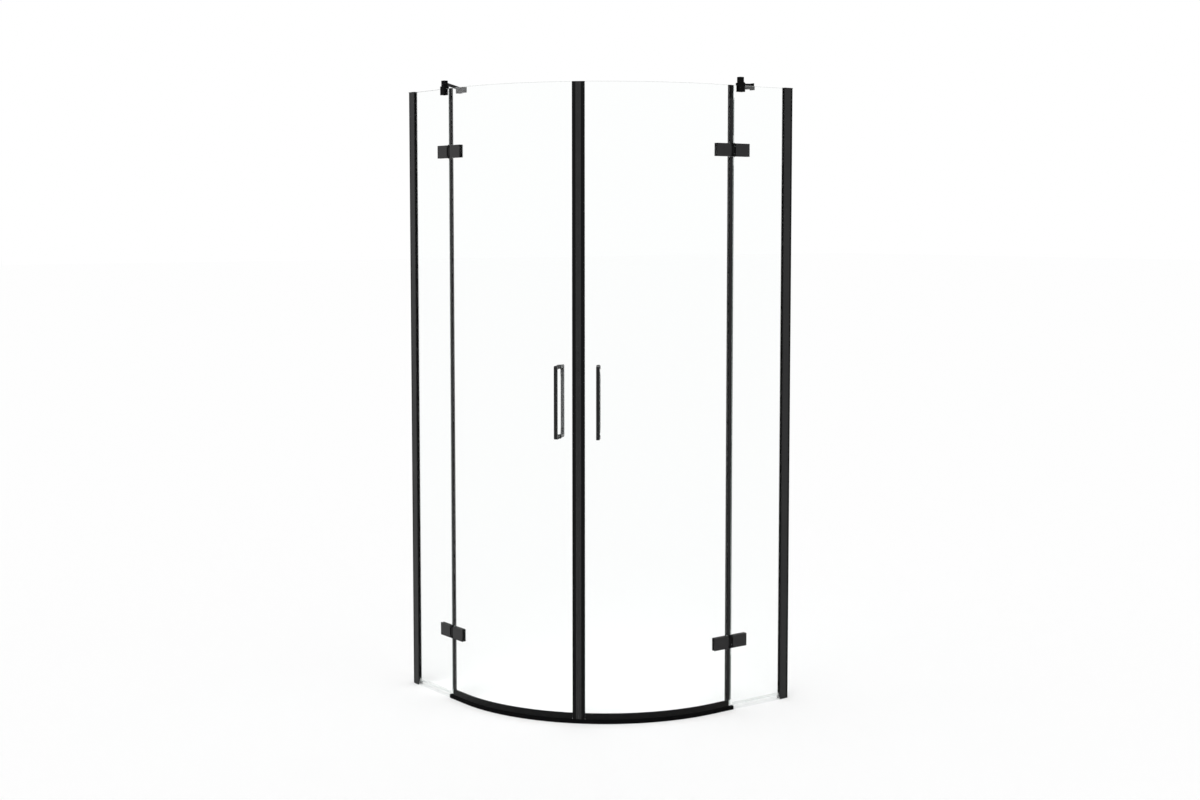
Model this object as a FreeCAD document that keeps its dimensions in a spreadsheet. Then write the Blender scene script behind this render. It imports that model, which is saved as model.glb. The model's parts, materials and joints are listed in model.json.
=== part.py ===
"""Quadrant shower enclosure: fixed panes, bent glass doors on glass-to-glass hinges, a curved threshold.

The arc of the doors is drawn about a vertical axis, the arc centre. From each end of the arc a straight side
runs to a wall: the right side along +Y, the left side along -X. The two halves are mirror images about the
upright plane through the arc centre and the line where the doors meet, so every piece of the right half is
modelled once and its left twin is its mirror image.

Frame: +Z up, z = 0 on the shower tray, origin under the centre of the bounding box.
Three working frames carry the sketches of the right half:
  side frame     on the end of the arc, X = outward from the glass, Y = along the side towards the wall
  arc frame      on the arc centre, axes as the model's
  hinge frame    on a hinge pin, X = outward, Y = towards the fixed pane
"""
import FreeCAD, Part
import math
import os
import re
import Sketcher
from FreeCAD import Placement, Rotation, Vector

# ---------------------------------------------------------------- driving sizes, millimetres and degrees

SIZES = [
    # the room it fills
    ("arc_radius", 550, "glass centre line of the bent doors"),
    ("side_run", 320, "straight side, from the end of the arc to the wall"),
    ("frame_height", 1950, "top of the wall profiles above the tray"),
    ("glass_thick", 6, "toughened glass"),
    ("glass_hole_radius", 5, "drilled hole for a handle stud"),
    # wall profile: a channel on the wall, and a profile that slides over it and holds the pane
    ("profile_width", 16, "across the glass"),
    ("profile_reach", 34, "wall to the open front of the profile"),
    ("profile_depth", 25, "of the sliding profile"),
    ("profile_wall", 1.5, "wall of the sliding profile"),
    ("profile_bevel", 0.8, "outer corners of the sliding profile"),
    ("pocket_depth", 14, "of the glass pocket in the sliding profile"),
    ("glass_bite", 12, "glass inside the pocket"),
    ("channel_depth", 17, "of the wall channel"),
    ("channel_wall", 1.6, "legs of the wall channel"),
    ("channel_base", 2, "plate of the channel on the wall"),
    ("slide_clearance", 0.3, "between channel and sliding profile"),
    ("fixing_radius", 2.75, "hole for a wall screw"),
    ("fixing_inset", 150, "wall screw to either end of the frame"),
    ("cap_plate", 1.5, "plate of the cap on both profiles"),
    ("cap_plug", 12, "plug of the cap inside the channel"),
    # fixed pane and its strip on the tray
    ("fixed_clear", 2, "fixed pane above the level of the rail"),
    ("seal_leg", 1.2, "wall of the clip-on seals"),
    ("base_seal_grip", 8, "height of the tray strip's legs on the glass"),
    ("base_seal_splay", 2.3, "how far the feet of the tray strip spread"),
    # threshold
    ("rail_width", 15, "threshold rail"),
    ("rail_height", 12, "threshold rail"),
    ("rail_wall", 2, "threshold rail"),
    ("rail_bevel", 1.5, "outer top corner of the rail"),
    ("rail_fall", 5, "inner slope of the rail that leads water back"),
    ("rail_straight", 87, "rail beyond each end of the arc"),
    ("rail_cap", 3, "end cap of the rail"),
    ("rail_plug", 8, "plug of the end cap inside the rail"),
    # doors and their seals
    ("door_clear", 9, "door glass above the rail"),
    ("bottom_seal_grip", 10, "height of the bottom seal's legs on the glass"),
    ("bottom_seal_clear", 1.3, "bottom seal above the rail"),
    ("bottom_web", 1.5, "web of the bottom seal under the glass"),
    ("drip_reach", 2.8, "how far the inner lip of the bottom seal stands out"),
    ("skirt_stop", 0.5, "bottom seal to the meeting line"),
    ("meeting_gap", 10, "glass edge to the line where the doors meet"),
    ("magnet_face_gap", 0.15, "magnet face to the meeting line"),
    ("carrier_step", 0.9, "how far the magnet carrier stands out beyond the seal's legs"),
    ("carrier_depth", 8, "meeting line to the back of the magnet carrier"),
    ("carrier_bevel", 0.8, "corners of the magnet carrier"),
    ("magnet_leg_end", 19, "meeting line to the end of the seal's legs"),
    ("magnet_width", 6, "magnet strip"),
    ("magnet_depth", 3.6, "magnet strip"),
    ("magnet_start", 1.4, "meeting line to the magnet strip"),
    ("fit_gap", 0.1, "small clearance where a strip slides in or on"),
    ("curve_gap", 0.4, "seal's legs to the bent glass"),
    # hinges
    ("hinge_run", 76, "end of the arc to the hinge pin"),
    ("hinge_low", 218, "height of the lower hinge"),
    ("hinge_drop", 197.5, "upper hinge below the top of the glass"),
    ("hinge_height", 40, "leaves of a hinge"),
    ("hinge_reach", 66, "pin to the end of a leaf"),
    ("hinge_thick", 17, "both leaves with the glass between"),
    ("hinge_bevel", 1.2, "edges of the leaves"),
    ("knuckle_height", 24, "middle knuckle, which belongs to the door's leaf"),
    ("knuckle_gap", 0.3, "between middle knuckle and outer knuckles"),
    ("leaf_gap", 0.5, "knuckle to the opposite leaf"),
    ("pin_radius", 4, "hinge pin"),
    ("pin_clearance", 0.05, "hinge pin in its bores"),
    ("pin_recess", 0.6, "end of the pin below the knuckle"),
    ("gasket_thick", 1, "between glass and leaf"),
    ("gasket_margin", 0.8, "leaf edge to gasket edge"),
    ("notch_margin", 1.5, "notch in the glass above and below a hinge"),
    ("notch_bevel", 1.2, "corners of a notch in the glass"),
    ("edge_room", 0.5, "glass edge to the path of the other pane as the door turns"),
    ("bulb_radius", 3, "bulb of the hinge seal, round the pin's axis"),
    ("clip_length", 8, "legs of the hinge seal on the glass"),
    ("end_block", 38, "thicker end piece on top of the hinge seal"),
    ("end_block_leg", 1.8, "wall of that end piece"),
    ("boss_reach", 44, "hinge pin to the end of the boss between the leaves"),
    ("boss_height", 16, "boss between the leaves"),
    ("boss_room", 2, "boss to the glass round it"),
    # handles
    ("handle_offset", 60, "meeting line to the handle, along the arc"),
    ("handle_level", 988, "middle of the handle"),
    ("handle_height", 222, "overall"),
    ("handle_stand", 38, "glass centre line to the middle of the bar"),
    ("handle_width", 10, "flat bar, along the glass"),
    ("handle_thick", 8, "flat bar, away from the glass"),
    ("handle_foot", 10, "leg of the handle"),
    ("handle_round", 6, "outer corner of the handle"),
    ("stud_radius", 3, "stud through the glass"),
    ("stud_clearance", 0.1, "stud in a shim's slot"),
    ("shim_size", 12, "soft shim between handle and glass"),
    ("shim_thick", 1, "soft shim between handle and glass"),
    ("shim_seat", 0.1, "shim to the curved glass"),
    # braces between glass and wall
    ("brace_run", 109, "end of the arc to the middle of the glass clamp"),
    ("clamp_width", 24, "glass clamp along the glass"),
    ("clamp_thick", 20, "glass clamp across the glass"),
    ("clamp_grip", 19.5, "how far the glass clamp reaches down over the glass"),
    ("clamp_roof", 8, "block above the glass"),
    ("clamp_bevel", 1.5, "upright edges of the glass clamp"),
    ("pad_thick", 1, "clamp pad"),
    ("pad_margin", 1, "clamp edge to pad edge"),
    ("grub_radius", 3, "grub screw"),
    ("grub_clearance", 0.1, "grub screw in its hole"),
    ("grub_drop", 9.5, "grub screw below the top of the glass"),
    ("grub_recess", 0.6, "grub screw below the clamp's face"),
    ("head_width", 15, "block that holds an end of the bar"),
    ("head_height", 18, "block that holds an end of the bar"),
    ("head_face", 5.6, "middle of the block to its slanted face"),
    ("bar_radius", 5, "brace bar"),
    ("bracket_stand", 25, "wall to the middle of the block"),
    ("post_width", 13, "post between block and wall plate"),
    ("plate_width", 22, "wall plate"),
    ("plate_thick", 3, "wall plate"),
    ("socket_radius", 4, "socket for a stud in the wall"),
    ("socket_depth", 8, "socket for a stud in the wall"),
]

# ---------------------------------------------------------------- places and lengths that follow from them

TERMS = {
    # the arc centre lies as far from the origin along -X as along +Y
    "half_clamp": "clamp_thick / 2",
    "centre_shift": "(arc_radius + half_clamp - side_run) / 2",
    "side_x": "arc_radius - centre_shift",
    "half_glass": "glass_thick / 2",
    "glass_top": "frame_height - cap_plate",
    "deg_per_mm": "180 / pi / arc_radius",
    # wall profile, distances along the side
    "half_profile": "profile_width / 2",
    "half_cavity": "half_profile - profile_wall",
    "profile_front": "side_run - profile_reach",
    "profile_back": "profile_front + profile_depth",
    "web_front": "profile_front + pocket_depth",
    "web_back": "web_front + profile_wall",
    "glass_wall_edge": "profile_front + glass_bite",
    "half_channel": "half_cavity - slide_clearance",
    "half_channel_inside": "half_channel - channel_wall",
    "channel_front": "side_run - channel_depth",
    "channel_floor": "side_run - channel_base",
    # panes and seals
    "fixed_foot": "rail_height + fixed_clear",
    "door_foot": "rail_height + door_clear",
    "bottom_seal_top": "door_foot + bottom_seal_grip",
    "edge_gap": "half_glass + edge_room",
    "half_clip": "half_glass + seal_leg",
    "rail_end": "rail_straight + rail_cap",
    "half_rail": "rail_width / 2",
    "skirt_foot": "rail_height + bottom_seal_clear",
    "door_straight": "hinge_run - edge_gap",
    "door_arc": "45 - meeting_gap * deg_per_mm",
    "legs_arc": "45 - (magnet_leg_end + skirt_stop) * deg_per_mm",
    "bent_glass": "half_glass + curve_gap",
    "bent_clip": "half_glass + curve_gap + seal_leg",
    "half_carrier": "bent_clip + carrier_step",
    "fixed_edge": "hinge_run + edge_gap",
    # hinge, distances from the pin
    "half_hinge": "hinge_thick / 2",
    "hinge_high": "glass_top - hinge_drop",
    "half_leaf": "hinge_height / 2",
    "leaf_start": "half_hinge + leaf_gap",
    "cut_back": "leaf_start + leaf_gap",
    "half_notch": "half_leaf + notch_margin",
    "plate_inside": "half_glass + gasket_thick",
    "half_knuckle": "knuckle_height / 2",
    "half_boss": "boss_height / 2",
    "slot_back": "boss_reach + boss_room",
    "half_slot": "half_boss + boss_room",
    "cover_start": "leaf_start + knuckle_gap",
    "gasket_start": "cover_start + gasket_margin",
    "gasket_end": "hinge_reach - gasket_margin",
    "gasket_half": "half_leaf - gasket_margin",
    # handle
    "handle_turn": "handle_offset * deg_per_mm - 45",
    "leg_level": "(handle_height - handle_foot) / 2",
    "half_shim": "shim_size / 2",
    "half_shim_slot": "stud_radius + stud_clearance",
    "shim_near": "half_glass + shim_seat",
    "leg_near": "shim_near + shim_thick",
    "bar_near": "handle_stand - handle_thick / 2",
    "bar_far": "handle_stand + handle_thick / 2",
    # brace
    "half_pad_gap": "half_glass + pad_thick",
    "clamp_foot": "glass_top - clamp_grip",
    "grub_level": "glass_top - grub_drop",
    "clamp_top": "glass_top + clamp_roof",
    "half_head": "head_width / 2",
    "head_corner": "head_face * sqrt(2) - half_head",
    "brace_reach": "side_run - brace_run - bracket_stand",
    "bar_level": "clamp_top + head_height / 2",
}

HINGE_LEVELS = {"upper": "hinge_high", "lower": "hinge_low"}
ALIASES = {alias for alias, _, _ in SIZES}
AXIS_NUMBER = {"x": 0, "y": 1, "z": 2}
UP = Vector(0, 0, 1)
TOLERANCE = 1e-4

doc = FreeCAD.newDocument("quadrant_enclosure")
sheet = doc.addObject("Spreadsheet::Sheet", "Sizes")
for row, (alias, size, meaning) in enumerate(SIZES, start=1):
    sheet.set(f"A{row}", alias)
    sheet.set(f"B{row}", str(size))
    sheet.set(f"C{row}", meaning)
    sheet.setAlias(f"B{row}", alias)
doc.recompute()

nodes = {}


# ---------------------------------------------------------------- formulas


def formula(text):
    """Open up the derived terms of a formula and point its sizes at the sheet's cells."""

    def spell(match):
        word = match.group(0)
        if word in TERMS:
            return f"({formula(TERMS[word])})"
        return f"Sizes.{word}" if word in ALIASES else word

    return re.sub(r"[a-z][a-z_]*", spell, str(text))


def value(text):
    """The number that a formula gives with the sheet's present sizes."""
    return float(sheet.evalExpression(formula(text)))


def bind(thing, **formulas):
    """Tie properties of a document object to formulas."""
    for name, text in formulas.items():
        thing.setExpression(name, formula(text))


def place(thing, x="0", y="0", z="0", turn=None):
    """Put an object at a place given by formulas, turned by a fixed rotation."""
    if turn is not None:
        thing.Placement = Placement(Vector(), turn)
    for axis, text in (("x", x), ("y", y), ("z", z)):
        thing.setExpression(f"Placement.Base.{axis}", formula(text))


def in_side_frame(thing, x="0", y="0", z="0", turn=None):
    """Place an object of the right side: x outward from the glass, y from the end of the arc to the wall."""
    place(thing, f"side_x + {x}", f"centre_shift + {y}", z, turn)


def in_arc_frame(thing, z="0", turn=None):
    """Place an object on the arc centre."""
    place(thing, "-centre_shift", "centre_shift", z, turn)


# ---------------------------------------------------------------- sketches and features


def new_body(name):
    """An empty body."""
    return doc.addObject("PartDesign::Body", name)


def origin_feature(body, role):
    """One of the body's own origin planes or axes."""
    return next(item for item in body.Origin.OriginFeatures if item.Role == role)


def sketch_on(body, role, lift="0", turn=None):
    """A sketch on an origin plane of the body, lifted along its normal and turned about its own vertical."""
    sketch = body.newObject("Sketcher::SketchObject", f"{body.Name}_sketch")
    sketch.AttachmentSupport = [(origin_feature(body, role), "")]
    sketch.MapMode = "FlatFace"
    if turn is not None:
        sketch.AttachmentOffset = Placement(Vector(), Rotation(Vector(0, 1, 0), 1))
        sketch.setExpression("AttachmentOffset.Rotation.Angle", formula(turn))
    if lift != "0":
        sketch.setExpression("AttachmentOffset.Base.z", formula(lift))
    return sketch


def pin_point(sketch, geometry, end, x=None, y=None):
    """Dimension a point from the sketch's origin, and tie the dimensions to their formulas."""
    for kind, text in (("DistanceX", x), ("DistanceY", y)):
        if text is not None:
            rule = Sketcher.Constraint(kind, -1, 1, geometry, end, value(text))
            number = sketch.addConstraint(rule)
            sketch.setExpression(f"Constraints[{number}]", formula(text))


def arc_between(start, end, clockwise):
    """An arc about the sketch's origin from one point to another."""
    radius = start.Length
    first = math.atan2(start.y, start.x)
    last = math.atan2(end.y, end.x)
    if clockwise:
        first, last = last, first
    circle = Part.Circle(Vector(), UP, radius)
    return Part.ArcOfCircle(circle, first, last)


def draw_outline(sketch, corners):
    """Draw a closed outline.

    Each corner is (x, y) in formulas. A third item, "arc" or "arc back", makes the run from that corner to
    the next one an arc about the sketch's origin, anticlockwise or clockwise.
    """
    points = [Vector(value(corner[0]), value(corner[1]), 0) for corner in corners]
    count = len(corners)
    runs = []
    for index, corner in enumerate(corners):
        start, end = points[index], points[(index + 1) % count]
        kind = corner[2] if len(corner) > 2 else "line"
        if kind == "line":
            number = sketch.addGeometry(Part.LineSegment(start, end), False)
        else:
            number = sketch.addGeometry(arc_between(start, end, kind == "arc back"), False)
            sketch.addConstraint(Sketcher.Constraint("Coincident", number, 3, -1, 1))
        first, last = (2, 1) if kind == "arc back" else (1, 2)
        runs.append((number, first, last, kind))
    for index, (number, first, last, kind) in enumerate(runs):
        before, _, before_last, before_kind = runs[index - 1]
        sketch.addConstraint(Sketcher.Constraint("Coincident", before, before_last, number, first))
        x, y = corners[index][:2]
        if before_kind != "line":
            # the arc's radius already fixes one of the two
            steep = abs(points[index].x) > abs(points[index].y)
            x, y = (None, y) if steep else (x, None)
        pin_point(sketch, number, first, x, y)


def draw_circle(sketch, x, y, radius):
    """Draw a circle whose centre and radius are formulas."""
    circle = Part.Circle(Vector(value(x), value(y), 0), UP, value(radius))
    number = sketch.addGeometry(circle, False)
    pin_point(sketch, number, 3, x, y)
    rule = sketch.addConstraint(Sketcher.Constraint("Radius", number, value(radius)))
    sketch.setExpression(f"Constraints[{rule}]", formula(radius))


def draw_rectangle(sketch, x_low, y_low, x_high, y_high):
    """Draw an upright rectangle between two corners."""
    draw_outline(sketch, [(x_low, y_low), (x_high, y_low), (x_high, y_high), (x_low, y_high)])


def pad(body, sketch, length, symmetric=False, backwards=False):
    """Pad a sketch by a length."""
    feature = body.newObject("PartDesign::Pad", f"{body.Name}_pad")
    feature.Profile = sketch
    feature.SideType = "Symmetric" if symmetric else "One side"
    feature.Reversed = backwards
    bind(feature, Length=length)
    doc.recompute()
    return feature


def revolve(body, sketch, angle):
    """Carry an upright section round the arc, from the end of the straight side towards the meeting line."""
    feature = body.newObject("PartDesign::Revolution", f"{body.Name}_revolution")
    feature.Profile = sketch
    feature.ReferenceAxis = (origin_feature(body, "Z_Axis"), [""])
    feature.Reversed = True
    bind(feature, Angle=angle)
    doc.recompute()
    return feature


def pocket(body, sketch, symmetric=False):
    """Cut a sketch out of the body, right through on one side of it or on both. Something must come away."""
    before = body.Shape.Volume
    feature = body.newObject("PartDesign::Pocket", f"{body.Name}_pocket")
    feature.Profile = sketch
    feature.SideType = "Symmetric" if symmetric else "One side"
    feature.Type = "ThroughAll"
    doc.recompute()
    if body.Shape.Volume > before - TOLERANCE:
        raise RuntimeError(f"the pocket in {body.Name} takes nothing away")
    return feature


def near(first, second):
    """Whether two lengths are the same within rounding."""
    return abs(first - second) < TOLERANCE


def edges_along(shape, axis, spots):
    """Names of the straight edges that run along an axis through the spots, given by the other two axes."""
    across = [index for index in range(3) if index != AXIS_NUMBER[axis]]
    wanted = [(value(first), value(second)) for first, second in spots]
    names = []
    for number, edge in enumerate(shape.Edges, start=1):
        ends = [vertex.Point for vertex in edge.Vertexes]
        if len(ends) != 2 or not all(near(ends[0][index], ends[1][index]) for index in across):
            continue
        spot = (ends[0][across[0]], ends[0][across[1]])
        if any(near(spot[0], first) and near(spot[1], second) for first, second in wanted):
            names.append(f"Edge{number}")
    if not names:
        raise RuntimeError(f"no edge along {axis} through {spots}")
    return names


def round_edges(body, axis, spots, radius):
    """Fillet edges that run along an axis."""
    base = body.Tip
    feature = body.newObject("PartDesign::Fillet", f"{body.Name}_fillet")
    feature.Base = (base, edges_along(base.Shape, axis, spots))
    bind(feature, Radius=radius)
    doc.recompute()


def bevel_edges(body, axis, spots, size):
    """Chamfer edges that run along an axis."""
    base = body.Tip
    feature = body.newObject("PartDesign::Chamfer", f"{body.Name}_chamfer")
    feature.Base = (base, edges_along(base.Shape, axis, spots))
    bind(feature, Size=size)
    doc.recompute()


# ---------------------------------------------------------------- solids, booleans and nodes


def rod(name, radius, length, x, y, z, direction):
    """A round rod that starts at a place and runs in a fixed direction."""
    cylinder = doc.addObject("Part::Cylinder", name)
    bind(cylinder, Radius=radius, Height=length)
    in_side_frame(cylinder, x, y, z, Rotation(UP, direction))
    return cylinder


def block(name, length, width, height, x, y, z):
    """An upright box in the side frame, from its lowest corner."""
    box = doc.addObject("Part::Box", name)
    bind(box, Length=length, Width=width, Height=height)
    in_side_frame(box, x, y, z)
    return box


def cut(name, base, tool):
    """Take a tool away from a base."""
    result = doc.addObject("Part::Cut", name)
    result.Base = base
    result.Tool = tool
    return result


def fuse(name, pieces):
    """Join pieces into one solid, without seams."""
    result = doc.addObject("Part::MultiFuse", name)
    result.Shapes = pieces
    result.Refine = True
    return result


def group(name, pieces):
    """Keep several separate solids together as one object."""
    result = doc.addObject("Part::Compound", name)
    result.Links = pieces
    return result


def left_twin(piece):
    """The mirror image of a right-hand piece about the plane through the meeting line."""
    twin = doc.addObject("Part::Mirroring", f"{piece.Name}_twin")
    twin.Source = piece
    twin.Normal = Vector(1, 1, 0)
    return twin


def add_node(name, piece):
    """Make an object a sub-part under its own name."""
    piece.Label = name
    nodes[name] = piece


def add_pair(name, piece):
    """Make a right-hand piece and its left twin two sub-parts."""
    add_node(f"{name}_right", piece)
    add_node(f"{name}_left", left_twin(piece))


def add_pair_as_one(name, pieces):
    """Make right-hand pieces and their left twins one sub-part of separate solids."""
    right = pieces[0] if len(pieces) == 1 else group(f"{name}_of_right", pieces)
    add_node(name, group(f"{name}_both", [right, left_twin(right)]))


# ---------------------------------------------------------------- wall profiles


def build_wall_channel():
    """U channel screwed to the wall, open towards the glass."""
    body = new_body("wall_channel")
    section = sketch_on(body, "XY_Plane")
    draw_outline(section, [
        ("half_channel", "channel_front"),
        ("half_channel", "side_run"),
        ("-half_channel", "side_run"),
        ("-half_channel", "channel_front"),
        ("-half_channel_inside", "channel_front"),
        ("-half_channel_inside", "channel_floor"),
        ("half_channel_inside", "channel_floor"),
        ("half_channel_inside", "channel_front"),
    ])
    pad(body, section, "glass_top")
    fixings = sketch_on(body, "XZ_Plane")
    for level in ("fixing_inset", "frame_height - fixing_inset"):
        draw_circle(fixings, "0", level, "fixing_radius")
    pocket(body, fixings, symmetric=True)
    in_side_frame(body)
    add_pair("wall_channel", body)


def build_glass_profile():
    """H profile: the glass pocket in front of its web, the telescoping cavity behind."""
    body = new_body("glass_profile")
    section = sketch_on(body, "XY_Plane")
    draw_outline(section, [
        ("half_profile", "profile_front"),
        ("half_profile", "profile_back"),
        ("half_cavity", "profile_back"),
        ("half_cavity", "web_back"),
        ("-half_cavity", "web_back"),
        ("-half_cavity", "profile_back"),
        ("-half_profile", "profile_back"),
        ("-half_profile", "profile_front"),
        ("-half_cavity", "profile_front"),
        ("-half_cavity", "web_front"),
        ("half_cavity", "web_front"),
        ("half_cavity", "profile_front"),
    ])
    pad(body, section, "glass_top")
    corners = [("half_profile", "profile_front"), ("-half_profile", "profile_front")]
    bevel_edges(body, "z", corners, "profile_bevel")
    in_side_frame(body)
    add_pair("glass_profile", body)


def build_profile_cap():
    """Moulded cap on both profiles, with a plug inside the channel."""
    body = new_body("profile_cap")
    plate = sketch_on(body, "XY_Plane")
    draw_rectangle(plate, "-half_profile", "profile_front", "half_profile", "side_run")
    pad(body, plate, "cap_plate")
    corners = [("half_profile", "profile_front"), ("-half_profile", "profile_front")]
    bevel_edges(body, "z", corners, "profile_bevel")
    plug = sketch_on(body, "XY_Plane")
    draw_rectangle(
        plug,
        "fit_gap - half_channel_inside",
        "web_back + slide_clearance",
        "half_channel_inside - fit_gap",
        "channel_floor - fit_gap",
    )
    pad(body, plug, "cap_plug", backwards=True)
    in_side_frame(body, z="glass_top")
    add_pair_as_one("profile_caps", [body])


def build_profile_gasket():
    """U-shaped glazing rubber between the pane and its pocket."""
    body = new_body("profile_gasket")
    section = sketch_on(body, "XY_Plane")
    draw_outline(section, [
        ("half_cavity", "profile_front"),
        ("half_cavity", "web_front"),
        ("-half_cavity", "web_front"),
        ("-half_cavity", "profile_front"),
        ("-half_glass", "profile_front"),
        ("-half_glass", "glass_wall_edge"),
        ("half_glass", "glass_wall_edge"),
        ("half_glass", "profile_front"),
    ])
    pad(body, section, "glass_top - fixed_foot")
    in_side_frame(body, z="fixed_foot")
    add_pair_as_one("profile_gaskets", [body])


# ---------------------------------------------------------------- fixed pane


def notch_edges(level):
    """Lower and upper edge of the notch for the hinge at a height."""
    return f"{level} - half_notch", f"{level} + half_notch"


def notch_roots(way):
    """The inner corners of both cut-outs of a pane."""
    root = f"hinge_run {way} cut_back"
    return [(root, edge) for level in HINGE_LEVELS.values() for edge in notch_edges(level)]


def hinge_notch(level, way):
    """Corners of the cut-out for a hinge and its boss, upwards. way leads from the pin into the pane."""
    low, high = notch_edges(level)
    root, slot = f"hinge_run {way} cut_back", f"hinge_run {way} slot_back"
    slot_foot, slot_top = f"{level} - half_slot", f"{level} + half_slot"
    return [
        (root, low),
        (root, slot_foot),
        (slot, slot_foot),
        (slot, slot_top),
        (root, slot_top),
        (root, high),
    ]


def build_fixed_glass():
    """Fixed pane with a cut-out for each hinge."""
    body = new_body("fixed_glass")
    outline = sketch_on(body, "YZ_Plane")
    corners = [
        ("fixed_edge", "fixed_foot"),
        ("glass_wall_edge", "fixed_foot"),
        ("glass_wall_edge", "glass_top"),
        ("fixed_edge", "glass_top"),
    ]
    for level in HINGE_LEVELS.values():
        low, high = notch_edges(level)
        corners += [("fixed_edge", high), *reversed(hinge_notch(level, "+")), ("fixed_edge", low)]
    draw_outline(outline, corners)
    pad(body, outline, "glass_thick", symmetric=True)
    bevel_edges(body, "x", notch_roots("+"), "notch_bevel")
    in_side_frame(body)
    add_pair("fixed_glass", body)


def build_base_seal():
    """Strip under the fixed pane: legs on the glass, two soft feet on the tray."""
    body = new_body("base_seal")
    section = sketch_on(body, "XZ_Plane")
    top = "fixed_foot + base_seal_grip"
    web_foot = "fixed_foot - bottom_web"
    foot_outside = "half_clip + base_seal_splay"
    foot_inside = "half_clip + base_seal_splay - bottom_web"
    draw_outline(section, [
        ("half_glass", top),
        ("half_glass", "fixed_foot"),
        ("-half_glass", "fixed_foot"),
        ("-half_glass", top),
        ("-half_clip", top),
        ("-half_clip", web_foot),
        (f"-({foot_outside})", "0"),
        (f"-({foot_inside})", "0"),
        ("-half_glass", f"{web_foot} - bottom_web"),
        ("half_glass", f"{web_foot} - bottom_web"),
        (foot_inside, "0"),
        (foot_outside, "0"),
        ("half_clip", web_foot),
        ("half_clip", top),
    ])
    pad(body, section, "profile_front - rail_end", backwards=True)
    in_side_frame(body, y="rail_end")
    add_pair_as_one("base_seals", [body])


# ---------------------------------------------------------------- threshold


def rail_outline():
    """Corners of the rail's outer outline in the side frame, from the outer foot to the inner foot."""
    return [
        ("half_rail", "0"),
        ("half_rail", "rail_height - rail_bevel"),
        ("half_rail - rail_bevel", "rail_height"),
        ("rail_fall - half_rail", "rail_height"),
        ("-half_rail", "rail_height - rail_fall"),
        ("-half_rail", "0"),
    ]


def cavity_outline(clearance):
    """Corners of the rail's open underside, from the inner foot to the outer, less a clearance."""
    inside = f"half_rail - rail_wall - {clearance}"
    roof = f"rail_height - rail_wall - {clearance}"
    return [
        (f"-({inside})", "0"),
        (f"-({inside})", f"rail_height - rail_fall - rail_wall / 2 - {clearance}"),
        (f"rail_fall - rail_wall / 2 - ({inside})", roof),
        (inside, roof),
        (inside, "0"),
    ]


def build_threshold():
    """Bent rail on the tray under both doors: half of it and its mirror image, joined at the meeting line."""
    half = new_body("rail_half")
    section = sketch_on(half, "XZ_Plane")
    corners = rail_outline() + cavity_outline("0")
    draw_outline(section, [(f"arc_radius + {x}", z) for x, z in corners])
    pad(half, section, "rail_straight", backwards=True)
    revolve(half, section, "45")
    in_arc_frame(half)
    add_node("threshold_rail", fuse("rail", [half, left_twin(half)]))

    end_cap = new_body("rail_end_cap")
    plate = sketch_on(end_cap, "XZ_Plane")
    draw_outline(plate, rail_outline())
    pad(end_cap, plate, "rail_cap", backwards=True)
    plug = sketch_on(end_cap, "XZ_Plane")
    draw_outline(plug, cavity_outline("fit_gap"))
    pad(end_cap, plug, "rail_plug")
    in_side_frame(end_cap, y="rail_straight")
    add_pair_as_one("rail_end_caps", [end_cap])


# ---------------------------------------------------------------- doors


def build_door_glass():
    """Bent pane: a straight strip that carries the hinges, then the arc up to the meeting line."""
    body = new_body("door_glass")
    section = sketch_on(body, "XZ_Plane")
    draw_rectangle(
        section, "arc_radius - half_glass", "door_foot", "arc_radius + half_glass", "glass_top"
    )
    pad(body, section, "door_straight", backwards=True)
    revolve(body, section, "door_arc")
    cuts = sketch_on(body, "YZ_Plane")
    for level in HINGE_LEVELS.values():
        low, high = notch_edges(level)
        draw_outline(cuts, [("hinge_run", low), *hinge_notch(level, "-"), ("hinge_run", high)])
    pocket(body, cuts, symmetric=True)
    bevel_edges(body, "x", notch_roots("-"), "notch_bevel")
    studs = sketch_on(body, "YZ_Plane", turn="handle_turn")
    for side in ("+", "-"):
        draw_circle(studs, "0", f"handle_level {side} leg_level", "glass_hole_radius")
    pocket(body, studs, symmetric=True)
    in_arc_frame(body)
    add_pair("door_glass", body)


def seal_piece(name, low, high, leg, nose):
    """A length of hinge seal: a clip on the door's glass and a nose, its corners from the outside inwards."""
    body = new_body(name)
    section = sketch_on(body, "XY_Plane")
    half = f"half_glass + {leg}"
    clip_end = "-(edge_gap + clip_length)"
    draw_outline(section, [
        (half, clip_end),
        (half, f"-({half})"),
        *nose,
        (f"-({half})", f"-({half})"),
        (f"-({half})", clip_end),
        ("-half_glass", clip_end),
        ("-half_glass", "-edge_gap"),
        ("half_glass", "-edge_gap"),
        ("half_glass", clip_end),
    ])
    pad(body, section, f"{high} - ({low})")
    in_side_frame(body, y="hinge_run", z=low)
    return body


def build_hinge_seal():
    """Hinge-side seal of a door, in the lengths between the hinges, with an end piece on top."""
    low_start, low_end = notch_edges("hinge_low")
    high_start, high_end = notch_edges("hinge_high")
    block_foot = "glass_top - end_block"
    neck = "bulb_radius * cos(45)"
    bulb = [(neck, f"-{neck}", "arc"), (f"-{neck}", f"-{neck}")]
    square = [(neck, f"-{neck}"), (neck, neck), (f"-{neck}", neck), (f"-{neck}", f"-{neck}")]
    pieces = [
        seal_piece("seal_below", "bottom_seal_top + fit_gap", low_start, "seal_leg", bulb),
        seal_piece("seal_between", low_end, high_start, "seal_leg", bulb),
        seal_piece("seal_above", high_end, block_foot, "seal_leg", bulb),
        seal_piece("seal_end_block", block_foot, "glass_top", "end_block_leg", square),
    ]
    add_pair("hinge_seal", group("hinge_seal", pieces))


def on_circle(radius, y):
    """X of the point at a height y on a circle about the arc centre."""
    return f"sqrt(({radius}) ^ 2 - ({y}) ^ 2)"


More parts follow.
